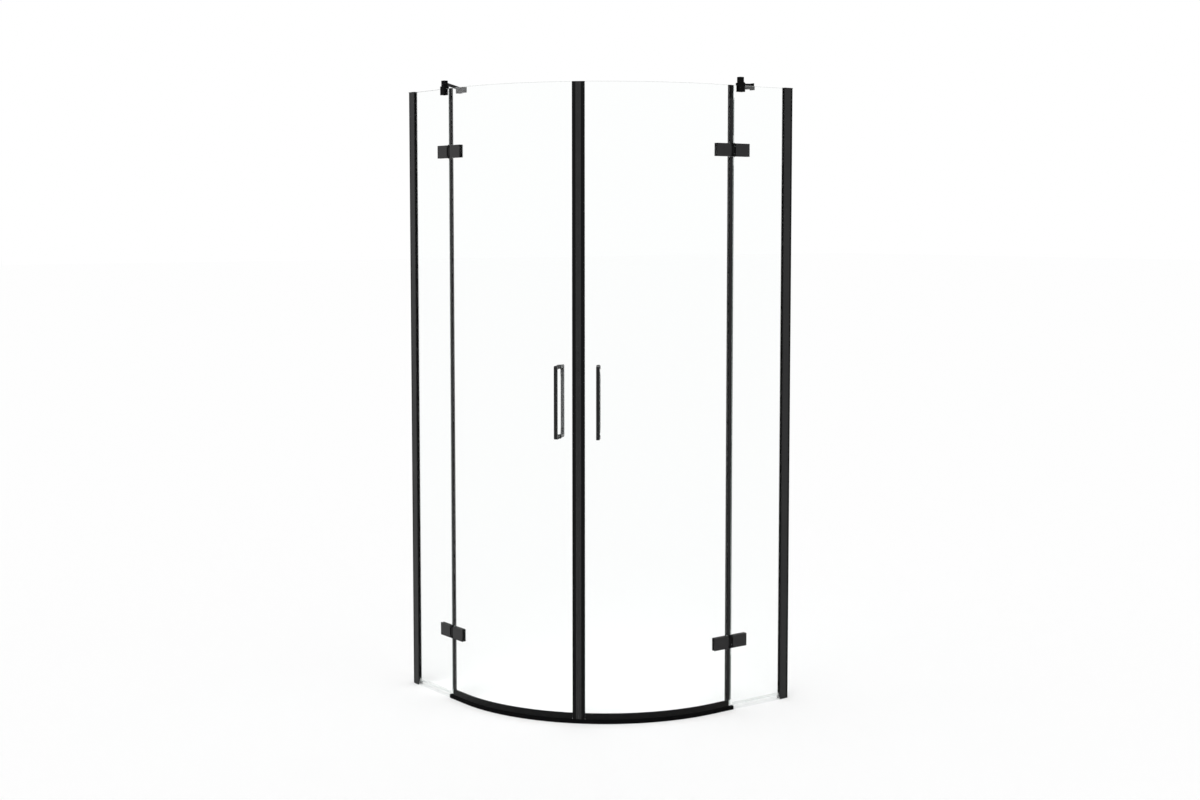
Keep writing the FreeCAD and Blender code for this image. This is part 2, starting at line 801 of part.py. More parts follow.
def build_magnet_seal():
    """Magnetic closing strip on the free edge: curved legs on the glass, a hollow carrier for the magnet."""
    turn = Rotation(UP, -45)
    body = new_body("magnet_seal")
    section = sketch_on(body, "XY_Plane")
    outside, inside = "arc_radius + bent_clip", "arc_radius - bent_clip"
    glass_outside, glass_inside = "arc_radius + bent_glass", "arc_radius - bent_glass"
    carrier_outside, carrier_inside = "arc_radius + half_carrier", "arc_radius - half_carrier"
    seat = "meeting_gap - fit_gap"
    draw_outline(section, [
        (carrier_outside, "magnet_face_gap"),
        (carrier_outside, "carrier_depth"),
        (on_circle(outside, "carrier_depth"), "carrier_depth", "arc"),
        (on_circle(outside, "magnet_leg_end"), "magnet_leg_end"),
        (on_circle(glass_outside, "magnet_leg_end"), "magnet_leg_end", "arc back"),
        (on_circle(glass_outside, seat), seat),
        (on_circle(glass_inside, seat), seat, "arc"),
        (on_circle(glass_inside, "magnet_leg_end"), "magnet_leg_end"),
        (on_circle(inside, "magnet_leg_end"), "magnet_leg_end", "arc back"),
        (on_circle(inside, "carrier_depth"), "carrier_depth"),
        (carrier_inside, "carrier_depth"),
        (carrier_inside, "magnet_face_gap"),
    ])
    draw_rectangle(
        section,
        "arc_radius - magnet_width / 2 - fit_gap",
        "magnet_start - fit_gap",
        "arc_radius + magnet_width / 2 + fit_gap",
        "magnet_start + magnet_depth + fit_gap",
    )
    pad(body, section, "glass_top - skirt_foot")
    rim = [(edge, "carrier_depth") for edge in (carrier_outside, carrier_inside)]
    bevel_edges(body, "z", rim, "carrier_bevel")
    in_arc_frame(body, "skirt_foot", turn)
    add_pair("magnet_seal", body)

    magnet = new_body("magnet_strip")
    strip = sketch_on(magnet, "XY_Plane")
    draw_rectangle(
        strip,
        "arc_radius - magnet_width / 2",
        "magnet_start",
        "arc_radius + magnet_width / 2",
        "magnet_start + magnet_depth",
    )
    pad(magnet, strip, "glass_top - door_foot")
    in_arc_frame(magnet, "door_foot", turn)
    add_pair("magnet_strip", magnet)


def build_bottom_seal():
    """Seal under a door: legs on the glass, an outer skirt and a slanted inner drip lip above the rail."""
    body = new_body("bottom_seal")
    web_foot = "door_foot - bottom_web"
    lip = "bent_clip + drip_reach"
    section = sketch_on(body, "XZ_Plane")
    corners = [
        (f"-({lip})", "skirt_foot"),
        (f"seal_leg - ({lip})", "skirt_foot"),
        ("-bent_glass + seal_leg", web_foot),
        ("bent_glass", web_foot),
        ("bent_glass", "skirt_foot"),
        ("bent_clip", "skirt_foot"),
        ("bent_clip", "bottom_seal_top"),
        ("bent_glass", "bottom_seal_top"),
        ("bent_glass", "door_foot"),
        ("-bent_glass", "door_foot"),
        ("-bent_glass", "bottom_seal_top"),
        ("-bent_clip", "bottom_seal_top"),
        ("-bent_clip", "door_foot"),
    ]
    draw_outline(section, [(f"arc_radius + {x}", z) for x, z in corners])
    pad(body, section, "door_straight", backwards=True)
    revolve(body, section, "legs_arc")
    in_arc_frame(body)
    add_pair("bottom_seal", body)


# ---------------------------------------------------------------- hinges


def hinge_leaf(name, level, side, inner_knuckle):
    """Outer leaf of a hinge with its knuckles and the boss that fills the cut-out of the glass, in one piece.

    side is "+" for the leaf on the fixed pane and "-" for the door's. The nose is concentric with the pin,
    with half the hinge's thickness as its radius. The door's leaf keeps the middle knuckle, the fixed
    pane's leaf the two outer ones.
    """
    body = new_body(name)
    outline = sketch_on(body, "XY_Plane")
    nose = ("half_hinge", "0", "arc back") if side == "+" else ("half_hinge", "0", "arc")
    draw_outline(outline, [
        nose,
        ("-half_hinge", "0"),
        ("-half_hinge", f"{side}leaf_start"),
        ("plate_inside", f"{side}leaf_start"),
        ("plate_inside", f"{side}hinge_reach"),
        ("half_hinge", f"{side}hinge_reach"),
    ])
    pad(body, outline, "hinge_height", symmetric=True)
    gaps = sketch_on(body, "YZ_Plane")
    far = "-leaf_start" if side == "+" else "leaf_start"
    root = f"{side}leaf_start"
    if inner_knuckle:
        draw_rectangle(gaps, root, "half_knuckle", far, "hinge_height")
        draw_rectangle(gaps, root, "-hinge_height", far, "-half_knuckle")
    else:
        draw_rectangle(gaps, far, "-half_knuckle - knuckle_gap", root, "half_knuckle + knuckle_gap")
    pocket(body, gaps, symmetric=True)
    bore = sketch_on(body, "XY_Plane")
    draw_circle(bore, "0", "0", "pin_radius + pin_clearance")
    pocket(body, bore, symmetric=True)
    bevel_edges(body, "z", [("half_hinge", f"{side}hinge_reach")], "hinge_bevel")
    boss = sketch_on(body, "YZ_Plane", lift="-plate_inside")
    draw_rectangle(boss, root, "-half_boss", f"{side}boss_reach", "half_boss")
    pad(body, boss, "2 * plate_inside")
    in_side_frame(body, y="hinge_run", z=level)
    return body


def hinge_cover(name, level, side):
    """Inner leaf of a hinge, clamped against the boss of the outer one."""
    body = new_body(name)
    outline = sketch_on(body, "XY_Plane")
    end = f"{side}hinge_reach"
    draw_rectangle(outline, "-half_hinge", f"{side}cover_start", "-plate_inside", end)
    pad(body, outline, "hinge_height", symmetric=True)
    bevel_edges(body, "z", [("-half_hinge", end)], "hinge_bevel")
    rims = [("-half_hinge", "half_leaf"), ("-half_hinge", "-half_leaf")]
    bevel_edges(body, "y", rims, "hinge_bevel")
    in_side_frame(body, y="hinge_run", z=level)
    return body


def hinge_gaskets(level, side):
    """Thin sheets between glass and leaves, open for the boss."""
    sheets = []
    start, slot, end = f"{side}gasket_start", f"{side}slot_back", f"{side}gasket_end"
    for face in ("half_glass", "-plate_inside"):
        body = new_body("hinge_gasket")
        outline = sketch_on(body, "YZ_Plane", lift=face)
        draw_outline(outline, [
            (start, "-gasket_half"),
            (end, "-gasket_half"),
            (end, "gasket_half"),
            (start, "gasket_half"),
            (start, "half_slot"),
            (slot, "half_slot"),
            (slot, "-half_slot"),
            (start, "-half_slot"),
        ])
        pad(body, outline, "gasket_thick")
        in_side_frame(body, y="hinge_run", z=level)
        sheets.append(body)
    return sheets


def build_hinges():
    """Two glass-to-glass hinges on each side, with their pins and gaskets."""
    frame_gaskets, door_gaskets, pins = [], [], []
    for place_name, level in HINGE_LEVELS.items():
        frame_leaf = hinge_leaf(f"frame_leaf_{place_name}", level, "+", inner_knuckle=False)
        add_pair(f"hinge_frame_leaf_{place_name}", frame_leaf)
        door_leaf = hinge_leaf(f"door_leaf_{place_name}", level, "-", inner_knuckle=True)
        add_pair(f"hinge_door_leaf_{place_name}", door_leaf)
        add_pair(f"hinge_frame_cover_{place_name}", hinge_cover(f"frame_cover_{place_name}", level, "+"))
        add_pair(f"hinge_door_cover_{place_name}", hinge_cover(f"door_cover_{place_name}", level, "-"))
        frame_gaskets += hinge_gaskets(level, "+")
        door_gaskets += hinge_gaskets(level, "-")
        length = "hinge_height - 2 * pin_recess"
        foot = f"{level} - half_leaf + pin_recess"
        pins.append(rod("hinge_pin", "pin_radius", length, "0", "hinge_run", foot, UP))
    add_pair_as_one("hinge_frame_gaskets", frame_gaskets)
    add_pair("hinge_door_gaskets", group("door_gaskets", door_gaskets))
    add_pair_as_one("hinge_pins", pins)


# ---------------------------------------------------------------- handles


def in_handle_frame(thing):
    """Place an object on the arc centre with X through the handle of the right door."""
    in_arc_frame(thing, turn=Rotation(UP, 1))
    thing.setExpression("Placement.Rotation.Angle", formula("handle_turn"))


def build_handle(name, side):
    """U-shaped handle of flat bar. side is "+" outside the shower and "-" inside.

    The outer handle carries the studs that pass through the glass to the legs of the inner one.
    """
    body = new_body(name)
    outline = sketch_on(body, "XZ_Plane")
    near_x, bar_x, far_x = (f"arc_radius {side} {term}" for term in ("leg_near", "bar_near", "bar_far"))
    top, foot = "handle_level + handle_height / 2", "handle_level - handle_height / 2"
    leg_under, leg_over = f"{top} - handle_foot", f"{foot} + handle_foot"
    draw_outline(outline, [
        (near_x, top),
        (far_x, top),
        (far_x, foot),
        (near_x, foot),
        (near_x, leg_over),
        (bar_x, leg_over),
        (bar_x, leg_under),
        (near_x, leg_under),
    ])
    pad(body, outline, "handle_width", symmetric=True)
    round_edges(body, "y", [(far_x, top), (far_x, foot)], "handle_round")
    if side == "+":
        studs = sketch_on(body, "YZ_Plane", lift="arc_radius - leg_near")
        for end in ("+", "-"):
            draw_circle(studs, "0", f"handle_level {end} leg_level", "stud_radius")
        pad(body, studs, "2 * leg_near")
    in_handle_frame(body)
    return body


def build_handle_shims():
    """Soft shims between the glass and the legs of both handles, slotted to slip over the studs."""
    shims = []
    for end in ("+", "-"):
        middle = f"handle_level {end} leg_level"
        for face in ("shim_near", "-leg_near"):
            shim = new_body("handle_shim")
            outline = sketch_on(shim, "YZ_Plane", lift=f"arc_radius + {face}")
            draw_outline(outline, [
                ("-half_shim", f"{middle} - half_shim"),
                ("-half_shim_slot", f"{middle} - half_shim"),
                ("-half_shim_slot", f"{middle} + half_shim_slot"),
                ("half_shim_slot", f"{middle} + half_shim_slot"),
                ("half_shim_slot", f"{middle} - half_shim"),
                ("half_shim", f"{middle} - half_shim"),
                ("half_shim", f"{middle} + half_shim"),
                ("-half_shim", f"{middle} + half_shim"),
            ])
            pad(shim, outline, "shim_thick")
            in_handle_frame(shim)
            shims.append(shim)
    return group("handle_shims", shims)


def build_handles():
    """Both handles of each door with their shims."""
    add_pair("handle_outer", build_handle("handle_outer", "+"))
    add_pair("handle_inner", build_handle("handle_inner", "-"))
    add_pair("handle_shims", build_handle_shims())


# ---------------------------------------------------------------- braces


def build_glass_clamp():
    """Block that straddles the top edge of the fixed pane, with its pads and its grub screw."""
    body = new_body("brace_clamp")
    section = sketch_on(body, "XZ_Plane")
    draw_outline(section, [
        ("half_clamp", "clamp_foot"),
        ("half_clamp", "clamp_top"),
        ("-half_clamp", "clamp_top"),
        ("-half_clamp", "clamp_foot"),
        ("-half_pad_gap", "clamp_foot"),
        ("-half_pad_gap", "glass_top"),
        ("half_pad_gap", "glass_top"),
        ("half_pad_gap", "clamp_foot"),
    ])
    pad(body, section, "clamp_width", symmetric=True)
    corners = [(x, y) for x in ("half_clamp", "-half_clamp") for y in ("clamp_width / 2", "-clamp_width / 2")]
    bevel_edges(body, "z", corners, "clamp_bevel")
    hole = sketch_on(body, "YZ_Plane")
    draw_circle(hole, "0", "grub_level", "grub_radius + grub_clearance")
    pocket(body, hole)
    in_side_frame(body, y="brace_run")
    add_pair("brace_clamp", body)

    width, height = "clamp_width - 2 * pad_margin", "glass_top - clamp_foot - pad_margin"
    run = "brace_run - clamp_width / 2 + pad_margin"
    pads = [
        block("clamp_pad", "pad_thick", width, height, face, run, "clamp_foot + pad_margin")
        for face in ("half_glass", "-half_pad_gap")
    ]
    add_pair_as_one("brace_clamp_pads", pads)

    length = "half_clamp - half_pad_gap - grub_recess"
    inward = Vector(-1, 0, 0)
    screw = rod("grub_screw", "grub_radius", length, "-half_pad_gap", "brace_run", "grub_level", inward)
    add_pair_as_one("brace_grub_screws", [screw])


def bar_end(name, x, y, side):
    """Block on an end of the brace bar, with one corner cut square to the bar. side is "+" at the glass."""
    body = new_body(name)
    outline = sketch_on(body, "XY_Plane")
    low, high = ("-", "") if side == "+" else ("", "-")
    draw_outline(outline, [
        (f"{high}half_head", f"{low}half_head"),
        (f"{high}half_head", f"{high}half_head"),
        (f"{low}head_corner", f"{high}half_head"),
        (f"{low}half_head", f"{high}head_corner"),
        (f"{low}half_head", f"{low}half_head"),
    ])
    pad(body, outline, "head_height")
    in_side_frame(body, x, y, "clamp_top")
    return body


def build_braces():
    """Round bar with a block on each end, at 45 degrees from a glass clamp to a bracket on the wall."""
    build_glass_clamp()
    slant = Vector(-1, 1, 0)
    back_x, back_y = "-brace_reach", "brace_run + brace_reach"
    bar = fuse("brace_bar", [
        bar_end("bar_front", "0", "brace_run", "+"),
        bar_end("bar_back", back_x, back_y, "-"),
        rod("bar_rod", "bar_radius", "brace_reach * sqrt(2)", "0", "brace_run", "bar_level", slant),
    ])
    add_pair("brace_bar", bar)

    post_start = f"{back_y} + half_head"
    post = block(
        "bracket_post", "post_width", "bracket_stand - half_head", "post_width",
        f"{back_x} - post_width / 2", post_start, "bar_level - post_width / 2",
    )
    plate = block(
        "bracket_plate", "plate_width", "plate_thick", "plate_width",
        f"{back_x} - plate_width / 2", "side_run - plate_thick", "bar_level - plate_width / 2",
    )
    socket = rod(
        "bracket_socket", "socket_radius", "socket_depth",
        back_x, "side_run - socket_depth", "bar_level", Vector(0, 1, 0),
    )
    bracket = cut("brace_wall_bracket", fuse("bracket_casting", [post, plate]), socket)
    add_pair_as_one("brace_wall_brackets", [bracket])


# ---------------------------------------------------------------- build, test and write


def check_document():
    """Stop if any object failed to build or any sub-part isn't sound."""
    for item in doc.Objects:
        if {"Invalid", "Error"} & set(item.State):
            raise RuntimeError(f"{item.Name} failed: {item.State}")
    for name, piece in nodes.items():
        if piece.Shape.isNull() or not piece.Shape.isValid() or not piece.Shape.Solids:
            raise RuntimeError(f"{name} has no sound shape")


def main():
    """Build every sub-part and write it to its own file."""
    build_wall_channel()
    build_glass_profile()
    build_profile_cap()
    build_profile_gasket()
    build_fixed_glass()
    build_base_seal()
    build_threshold()
    build_door_glass()
    build_hinge_seal()
    build_magnet_seal()
    build_bottom_seal()
    build_hinges()
    build_handles()
    build_braces()
    doc.recompute()
    check_document()
    os.makedirs("parts", exist_ok=True)
    for name, piece in nodes.items():
        piece.Shape.exportStep(f"parts/{name}.step")
        print(f"{name}: {len(piece.Shape.Solids)} solids, {piece.Shape.Volume:.0f} mm3")
    print(f"{len(nodes)} sub-parts")


main()
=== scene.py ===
"""Looks of a quadrant shower enclosure: finishes, rounded edges, small fasteners and the studio around it.

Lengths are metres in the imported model's frame: +Z up, z = 0 on the shower tray, the right side along +Y and
the left side along -X. The two halves are mirror images about the upright plane x = -y, so every piece of the
right half is made once and its left twin is its mirror image.
"""

import json
import logging
import math
from dataclasses import dataclass
from enum import Enum

import bpy
import numpy as np
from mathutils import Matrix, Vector


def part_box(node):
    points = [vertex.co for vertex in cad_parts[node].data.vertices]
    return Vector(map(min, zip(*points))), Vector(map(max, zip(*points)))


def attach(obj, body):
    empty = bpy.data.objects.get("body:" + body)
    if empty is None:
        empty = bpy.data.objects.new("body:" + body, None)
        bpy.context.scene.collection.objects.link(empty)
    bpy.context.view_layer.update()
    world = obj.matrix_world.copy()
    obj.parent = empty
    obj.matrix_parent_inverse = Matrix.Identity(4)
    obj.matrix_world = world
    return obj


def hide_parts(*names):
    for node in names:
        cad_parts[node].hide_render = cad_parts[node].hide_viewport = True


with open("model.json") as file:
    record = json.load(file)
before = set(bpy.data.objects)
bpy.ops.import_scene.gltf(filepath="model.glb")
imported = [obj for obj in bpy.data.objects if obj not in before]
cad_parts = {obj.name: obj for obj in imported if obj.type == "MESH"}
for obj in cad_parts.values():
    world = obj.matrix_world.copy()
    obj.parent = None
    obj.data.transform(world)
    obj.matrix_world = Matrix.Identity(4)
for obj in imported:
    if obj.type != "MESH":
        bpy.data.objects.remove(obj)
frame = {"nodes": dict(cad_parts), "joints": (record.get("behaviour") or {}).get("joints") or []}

log = logging.getLogger("enclosure")
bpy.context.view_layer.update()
MM = 0.001

EDGE_MARK = "ground_edge"
BROAD_DETAIL, FINE_DETAIL = 3.0, 2.0  # octaves of the noises
MIDDLE_HALF = (0.25, 0.75)  # nearly all of a noise lies here
MIX_SHARE, MIX_FIRST, MIX_SECOND, MIX_RESULT = 0, 6, 7, 2  # a Mix node's sockets for colours

SHARP_ANGLE = math.radians(32)  # a new piece's edge looks sharp from here on
MERGE_DISTANCE = 0.01 * MM
FLAT_ANGLE = math.radians(0.5)  # packed triangles that turn less are one face
ROUNDED_ANGLE = math.radians(35)  # a packed edge that turns more is rounded

CELLS_AT_A_POINT = 4
SAME_LINE = 1e-6  # grid lines nearer to each other than this are one
ROUNDING = 1e-9
GRID_DIGITS = 7
TURNED_SIDES = 48
SOCKET_TAPER = 0.97  # the floor of a hexagonal socket against its mouth


class Side(Enum):
    """The two halves of the enclosure."""

    RIGHT = "right"
    LEFT = "left"

    @property
    def door(self) -> str:
        """The body of this side's door."""
        return f"door_{self.value}"


class Slot(Enum):
    """Names of the record's material slots, passed along with new pieces."""

    GLASS = "clear_glass"
    STEEL = "steel"
    SEAL = "black_seal"


class Shape(Enum):
    """The outline of one ring of a turned piece."""

    ROUND = "round"
    HEXAGON = "hexagon"


class Measure(Enum):
    """A distance that both halves share."""

    RUN = "along the side, from the middle of the model"
    MEETING = "from the upright plane between the halves"
    LEVEL = "above the tray"


# ---------------------------------------------------------------- finishes


def opaque(colour: tuple[float, float, float]) -> tuple[float, float, float, float]:
    """A colour with a full fourth value, as sockets want it."""
    return (*colour, 1.0)


class Graph:
    """The node tree of a material or a world, with short ways to add and join nodes."""

    def __init__(self, owner: bpy.types.Material | bpy.types.World, output: str = "OutputMaterial") -> None:
        """Empty the tree but for its output.

        Args:
            owner: The new material or world.
            output: The type of its output node, without the "ShaderNode" prefix.
        """
        self.owner = owner
        owner.use_nodes = True
        self.tree = owner.node_tree
        self.tree.nodes.clear()
        self.output = self.add(output)

    def feed(self, socket: bpy.types.NodeSocket, value: object) -> None:
        """Join another socket to an input, or set the input to a constant.

        Args:
            socket: The input.
            value: A socket, a number or a colour.
        """
        if isinstance(value, bpy.types.NodeSocket):
            self.tree.links.new(value, socket)
        else:
            socket.default_value = value

    def add(self, kind: str, **sockets: object) -> bpy.types.Node:
        """Add a node.

        Args:
            kind: The node's type without its "ShaderNode" prefix.
            sockets: Values for its inputs, with underscores for spaces, or a socket to join to that input.

        Returns:
            The new node.
        """
        node = self.tree.nodes.new(f"ShaderNode{kind}")
        for name, value in sockets.items():
            self.feed(node.inputs[name.replace("_", " ")], value)
        return node

    def place(self) -> bpy.types.NodeSocket:
        """The point on the piece, in the model's frame."""
        return self.add("TexCoord").outputs["Object"]

    def noise(self, cells_per_metre: float, detail: float) -> bpy.types.NodeSocket:
        """Smooth noise from 0 to 1 on the piece, with about that many cells to a metre."""
        return self.add("TexNoise", Vector=self.place(), Scale=cells_per_metre, Detail=detail).outputs["Fac"]

    def math(self, operation: str, *values: bpy.types.NodeSocket | float) -> bpy.types.NodeSocket:
        """One step of arithmetic.

        Args:
            operation: The Math node's operation.
            values: The sockets and numbers that it works on, in order.

        Returns:
            Its result.
        """
        node = self.add("Math")
        node.operation = operation
        for socket, value in zip(node.inputs, values):
            self.feed(socket, value)
        return node.outputs[0]

    def measured(self, measure: Measure) -> bpy.types.NodeSocket:
        """A distance of the point on the piece.

        With x and y in the model's frame, the distance from the plane between the halves is
        |x + y| / sqrt(2), and the distance along the side is (|x + y| + y - x) / 2, which is y in the right
        half and -x in the left.

        Args:
            measure: Which distance.

        Returns:
            That distance in metres.
        """
        x, y, z = self.add("SeparateXYZ", Vector=self.place()).outputs
        if measure is Measure.LEVEL:
            return z
        apart = self.math("ABSOLUTE", self.math("ADD", x, y))
        if measure is Measure.MEETING:
            return self.math("MULTIPLY", apart, math.sqrt(0.5))
        return self.math("MULTIPLY", self.math("ADD", apart, self.math("SUBTRACT", y, x)), 0.5)

    def span(
        self, source: bpy.types.NodeSocket, start: float, end: float, low: float, high: float
    ) -> bpy.types.NodeSocket:
        """Map the part of a value between start and end to a range, and hold it outside.

        Args:
            source: The value.
            start: Where the value gives low.
            end: Where it gives high.
            low: The result at the start and before it.
            high: The result at the end and beyond it.

        Returns:
            The mapped value.
        """
        node = self.add("MapRange", Value=source)
        for name, value in (("From Min", start), ("From Max", end), ("To Min", low), ("To Max", high)):
            node.inputs[name].default_value = value
        return node.outputs["Result"]

    def spread(self, source: bpy.types.NodeSocket, low: float, high: float) -> bpy.types.NodeSocket:
        """Map the middle half of a noise to a range."""
        return self.span(source, *MIDDLE_HALF, low, high)

    def blend(self, share: bpy.types.NodeSocket, first: object, second: object) -> bpy.types.NodeSocket:
        """A colour between two.

        Args:
            share: How much of the second, from 0 to 1.
            first: A colour, or a socket that gives one.
            second: The other colour.

        Returns:
            The blended colour.
        """
        node = self.add("Mix")
        node.data_type = "RGBA"
        self.feed(node.inputs[MIX_SHARE], share)
        self.feed(node.inputs[MIX_FIRST], first)
        self.feed(node.inputs[MIX_SECOND], second)
        return node.outputs[MIX_RESULT]

    def mixed(
        self, share: bpy.types.NodeSocket, first: bpy.types.Node, second: bpy.types.Node
    ) -> bpy.types.Node:
        """Two shaders mixed.

        Args:
            share: How much of the second, from 0 to 1.
            first: A shader.
            second: The other shader.

        Returns:
            The mixed shader.
        """
        node = self.add("MixShader", Fac=share)
        self.feed(node.inputs[1], first.outputs[0])
        self.feed(node.inputs[2], second.outputs[0])
        return node

    def finish(self, shader: bpy.types.Node) -> bpy.types.Material | bpy.types.World:
        """Join a shader to the output and give the material or world."""
        self.feed(self.output.inputs["Surface"], shader.outputs[0])
        return self.owner


@dataclass(frozen=True)
class Band:
    """Where a finish turns deeper: within half_width of a place, or beyond it, by one shared distance."""

    measure: Measure
    place: float
    half_width: float
    beyond: bool = False
    softness: float = 0.6 * MM

    def share(self, graph: Graph) -> bpy.types.NodeSocket:
        """How deep the finish is at a point.

        Args:
            graph: The material's graph.

        Returns:
            A share from 0 to 1.
        """
        away = graph.math("ABSOLUTE", graph.math("SUBTRACT", graph.measured(self.measure), self.place))
        low, high = (0.0, 1.0) if self.beyond else (1.0, 0.0)
        return graph.span(away, self.half_width, self.half_width + self.softness, low, high)


@dataclass(frozen=True)
class Grain:
    """How a surface varies: broad patches, and fine grains of some height."""

    patches_per_metre: float
    grains_per_metre: float
    height: float


@dataclass(frozen=True)
class Coating:
    """A dark opaque finish: a colour that varies a little, a fine grain and a soft sheen.

    The colour lies between dark and light by a broad noise. Roughness follows the same noise, and the grain
    is the height of a fine noise. In its band, if it has one, the colour goes to deep and most of the sheen
    goes: painted shade round the hinge barrel and on the closing seal's legs, and a darker top end on the
    hinge seal.
    """

    name: str
    dark: tuple[float, float, float]
    light: tuple[float, float, float]
    smoothest: float
    roughest: float
    grain: Grain
    shine: float
    metallic: float = 0.0
    band: Band | None = None
    # deep and deep_shine: the band's colour and sheen, painted shade on the hinge barrel and the closing
    # seal's legs
    deep: tuple[float, float, float] = (0.003, 0.003, 0.0032)
    deep_shine: float = 0.08

    def build(self) -> bpy.types.Material:
        """Make the material.

        Returns:
            The material.
        """
        graph = Graph(bpy.data.materials.new(self.name))
        patches = graph.noise(self.grain.patches_per_metre, BROAD_DETAIL)
        colour = graph.blend(graph.spread(patches, 0.0, 1.0), opaque(self.dark), opaque(self.light))
        shine = self.shine
        # In the band the colour darkens and the sheen drops: painted shade on the hinge barrel and the
        # closing seal's legs, a darker top end on the hinge seal.
        if self.band is not None:
            share = self.band.share(graph)
            colour = graph.blend(share, colour, opaque(self.deep))
            shine = graph.span(share, 0.0, 1.0, self.shine, self.deep_shine)
        grains = graph.noise(self.grain.grains_per_metre, FINE_DETAIL)
        bump = graph.add("Bump", Strength=1.0, Distance=self.grain.height, Height=grains)
        shader = graph.add(
            "BsdfPrincipled",
            Base_Color=colour,
            Roughness=graph.spread(patches, self.smoothest, self.roughest),
            Specular_IOR_Level=shine,
            Metallic=self.metallic,
            Normal=bump.outputs["Normal"],
        )
        return graph.finish(shader)


@dataclass(frozen=True)
class Clear:
    """A clear material that lets lamps through.

    A pane's own measure of its edges runs from 0 on the faces to 1 on the ground rim, and there a pale
    greenish, finely ground skin covers most of the glass.
    """

    name: str
    tint: tuple[float, float, float]
    refraction: float
    edge_tint: tuple[float, float, float]
    edge_cover: float = 0.85
    edge_start: float = 0.4
    edge_smoothest: float = 0.4675
    edge_roughest: float = 0.55
    grits_per_metre: float = 1800.0

    def build(self) -> bpy.types.Material:
        """Make the material: clear to the eye, and a faint tint to a lamp's light.

        Returns:
            The material.
        """
        graph = Graph(bpy.data.materials.new(self.name))
        tint = opaque(self.tint)
        glass = graph.add(
            "BsdfPrincipled", Base_Color=tint, Roughness=0.0, IOR=self.refraction, Transmission_Weight=1.0
        )
        clear = graph.add("BsdfTransparent", Color=tint)
        body = graph.mixed(graph.add("LightPath").outputs["Is Shadow Ray"], glass, clear)
        mark = graph.add("Attribute")
        mark.attribute_name = EDGE_MARK
        grits = graph.noise(self.grits_per_metre, FINE_DETAIL)
        ground = graph.add(
            "BsdfPrincipled",
            Base_Color=opaque(self.edge_tint),
            Roughness=graph.spread(grits, self.edge_smoothest, self.edge_roughest),
        )
        edge = graph.span(mark.outputs["Fac"], self.edge_start, 1.0, 0.0, self.edge_cover)
        return graph.finish(graph.mixed(edge, body, ground))


@dataclass(frozen=True)
class SoftClear:
    """Thin clear vinyl: most light goes straight through, the rest meets a pale, softly glossy skin."""

    name: str
    skin: tuple[float, float, float]
    least_cover: float
    most_cover: float
    smoothest: float
    roughest: float
    clouds_per_metre: float = 40.0

    def build(self) -> bpy.types.Material:
        """Make the material. The skin's share varies a little, as the wall of an extruded strip does.

        Returns:
            The material.
        """
        graph = Graph(bpy.data.materials.new(self.name))
        clouds = graph.noise(self.clouds_per_metre, FINE_DETAIL)
        skin = graph.add(
            "BsdfPrincipled",
            Base_Color=opaque(self.skin),
            Roughness=graph.spread(clouds, self.smoothest, self.roughest),
        )
        clear = graph.add("BsdfTransparent", Color=opaque((1.0, 1.0, 1.0)))
        return graph.finish(graph.mixed(graph.spread(clouds, self.least_cover, self.most_cover), clear, skin))


Finish = Coating | Clear | SoftClear

# Painted shade: the hinge coat turns near black and loses most of its sheen round the barrel, where the
# leaves' round noses turn away.
PAINTED_BARREL_SHADE = Band(Measure.RUN, 196 * MM, 8.6 * MM)
# Painted shade: the closing seal's legs, lower than its raised carriers, are drawn darker than the carriers.
PAINTED_LEG_SHADE = Band(Measure.MEETING, 0.0, 8.1 * MM, beyond=True)
END_BLOCK = Band(Measure.LEVEL, 1930 * MM, 19.6 * MM)

POWDER = Grain(patches_per_metre=9.0, grains_per_metre=900.0, height=6e-6)
RAIL_POWDER = Grain(patches_per_metre=12.0, grains_per_metre=900.0, height=6e-6)
CASTING = Grain(patches_per_metre=40.0, grains_per_metre=1500.0, height=4e-6)
EXTRUDED = Grain(patches_per_metre=30.0, grains_per_metre=700.0, height=5e-6)
RUBBERY = Grain(patches_per_metre=50.0, grains_per_metre=2500.0, height=8e-6)
MOULDED = Grain(patches_per_metre=30.0, grains_per_metre=3000.0, height=6e-6)
MACHINED = Grain(patches_per_metre=120.0, grains_per_metre=4000.0, height=3e-6)

PROFILE_COAT = Coating(
    "powder_coated_profile", dark=(0.010, 0.010, 0.0105), light=(0.014, 0.014, 0.0145),
    smoothest=0.42, roughest=0.50, grain=POWDER, shine=0.20,
)
# The wall channel's powder coat is drawn darker and duller than the profile's: painted shade in its recess.
CHANNEL_PAINTED_SHADE = Coating(
    "powder_coat_with_painted_channel_shade", dark=(0.004, 0.004, 0.0042), light=(0.006, 0.006, 0.0062),
    smoothest=0.50, roughest=0.58, grain=POWDER, shine=0.08,
)
RAIL_COAT = Coating(
    "powder_coated_rail", dark=(0.003, 0.003, 0.0032), light=(0.005, 0.005, 0.0052),
    smoothest=0.58, roughest=0.66, grain=RAIL_POWDER, shine=0.012,
)
FITTING_COAT = Coating(
    "coated_fitting", dark=(0.008, 0.008, 0.0083), light=(0.012, 0.012, 0.0123),
    smoothest=0.36, roughest=0.44, grain=CASTING, shine=0.16,
)
# The inner bar is black like the outer one; its mid grey is a painted reflection of the door glass it is seen
# through.
INNER_BAR_PAINTED_REFLECTION = Coating(
    "inner_bar_painted_reflection", dark=(0.105, 0.105, 0.107), light=(0.125, 0.125, 0.127),
    smoothest=0.34, roughest=0.42, grain=CASTING, shine=0.40,
)
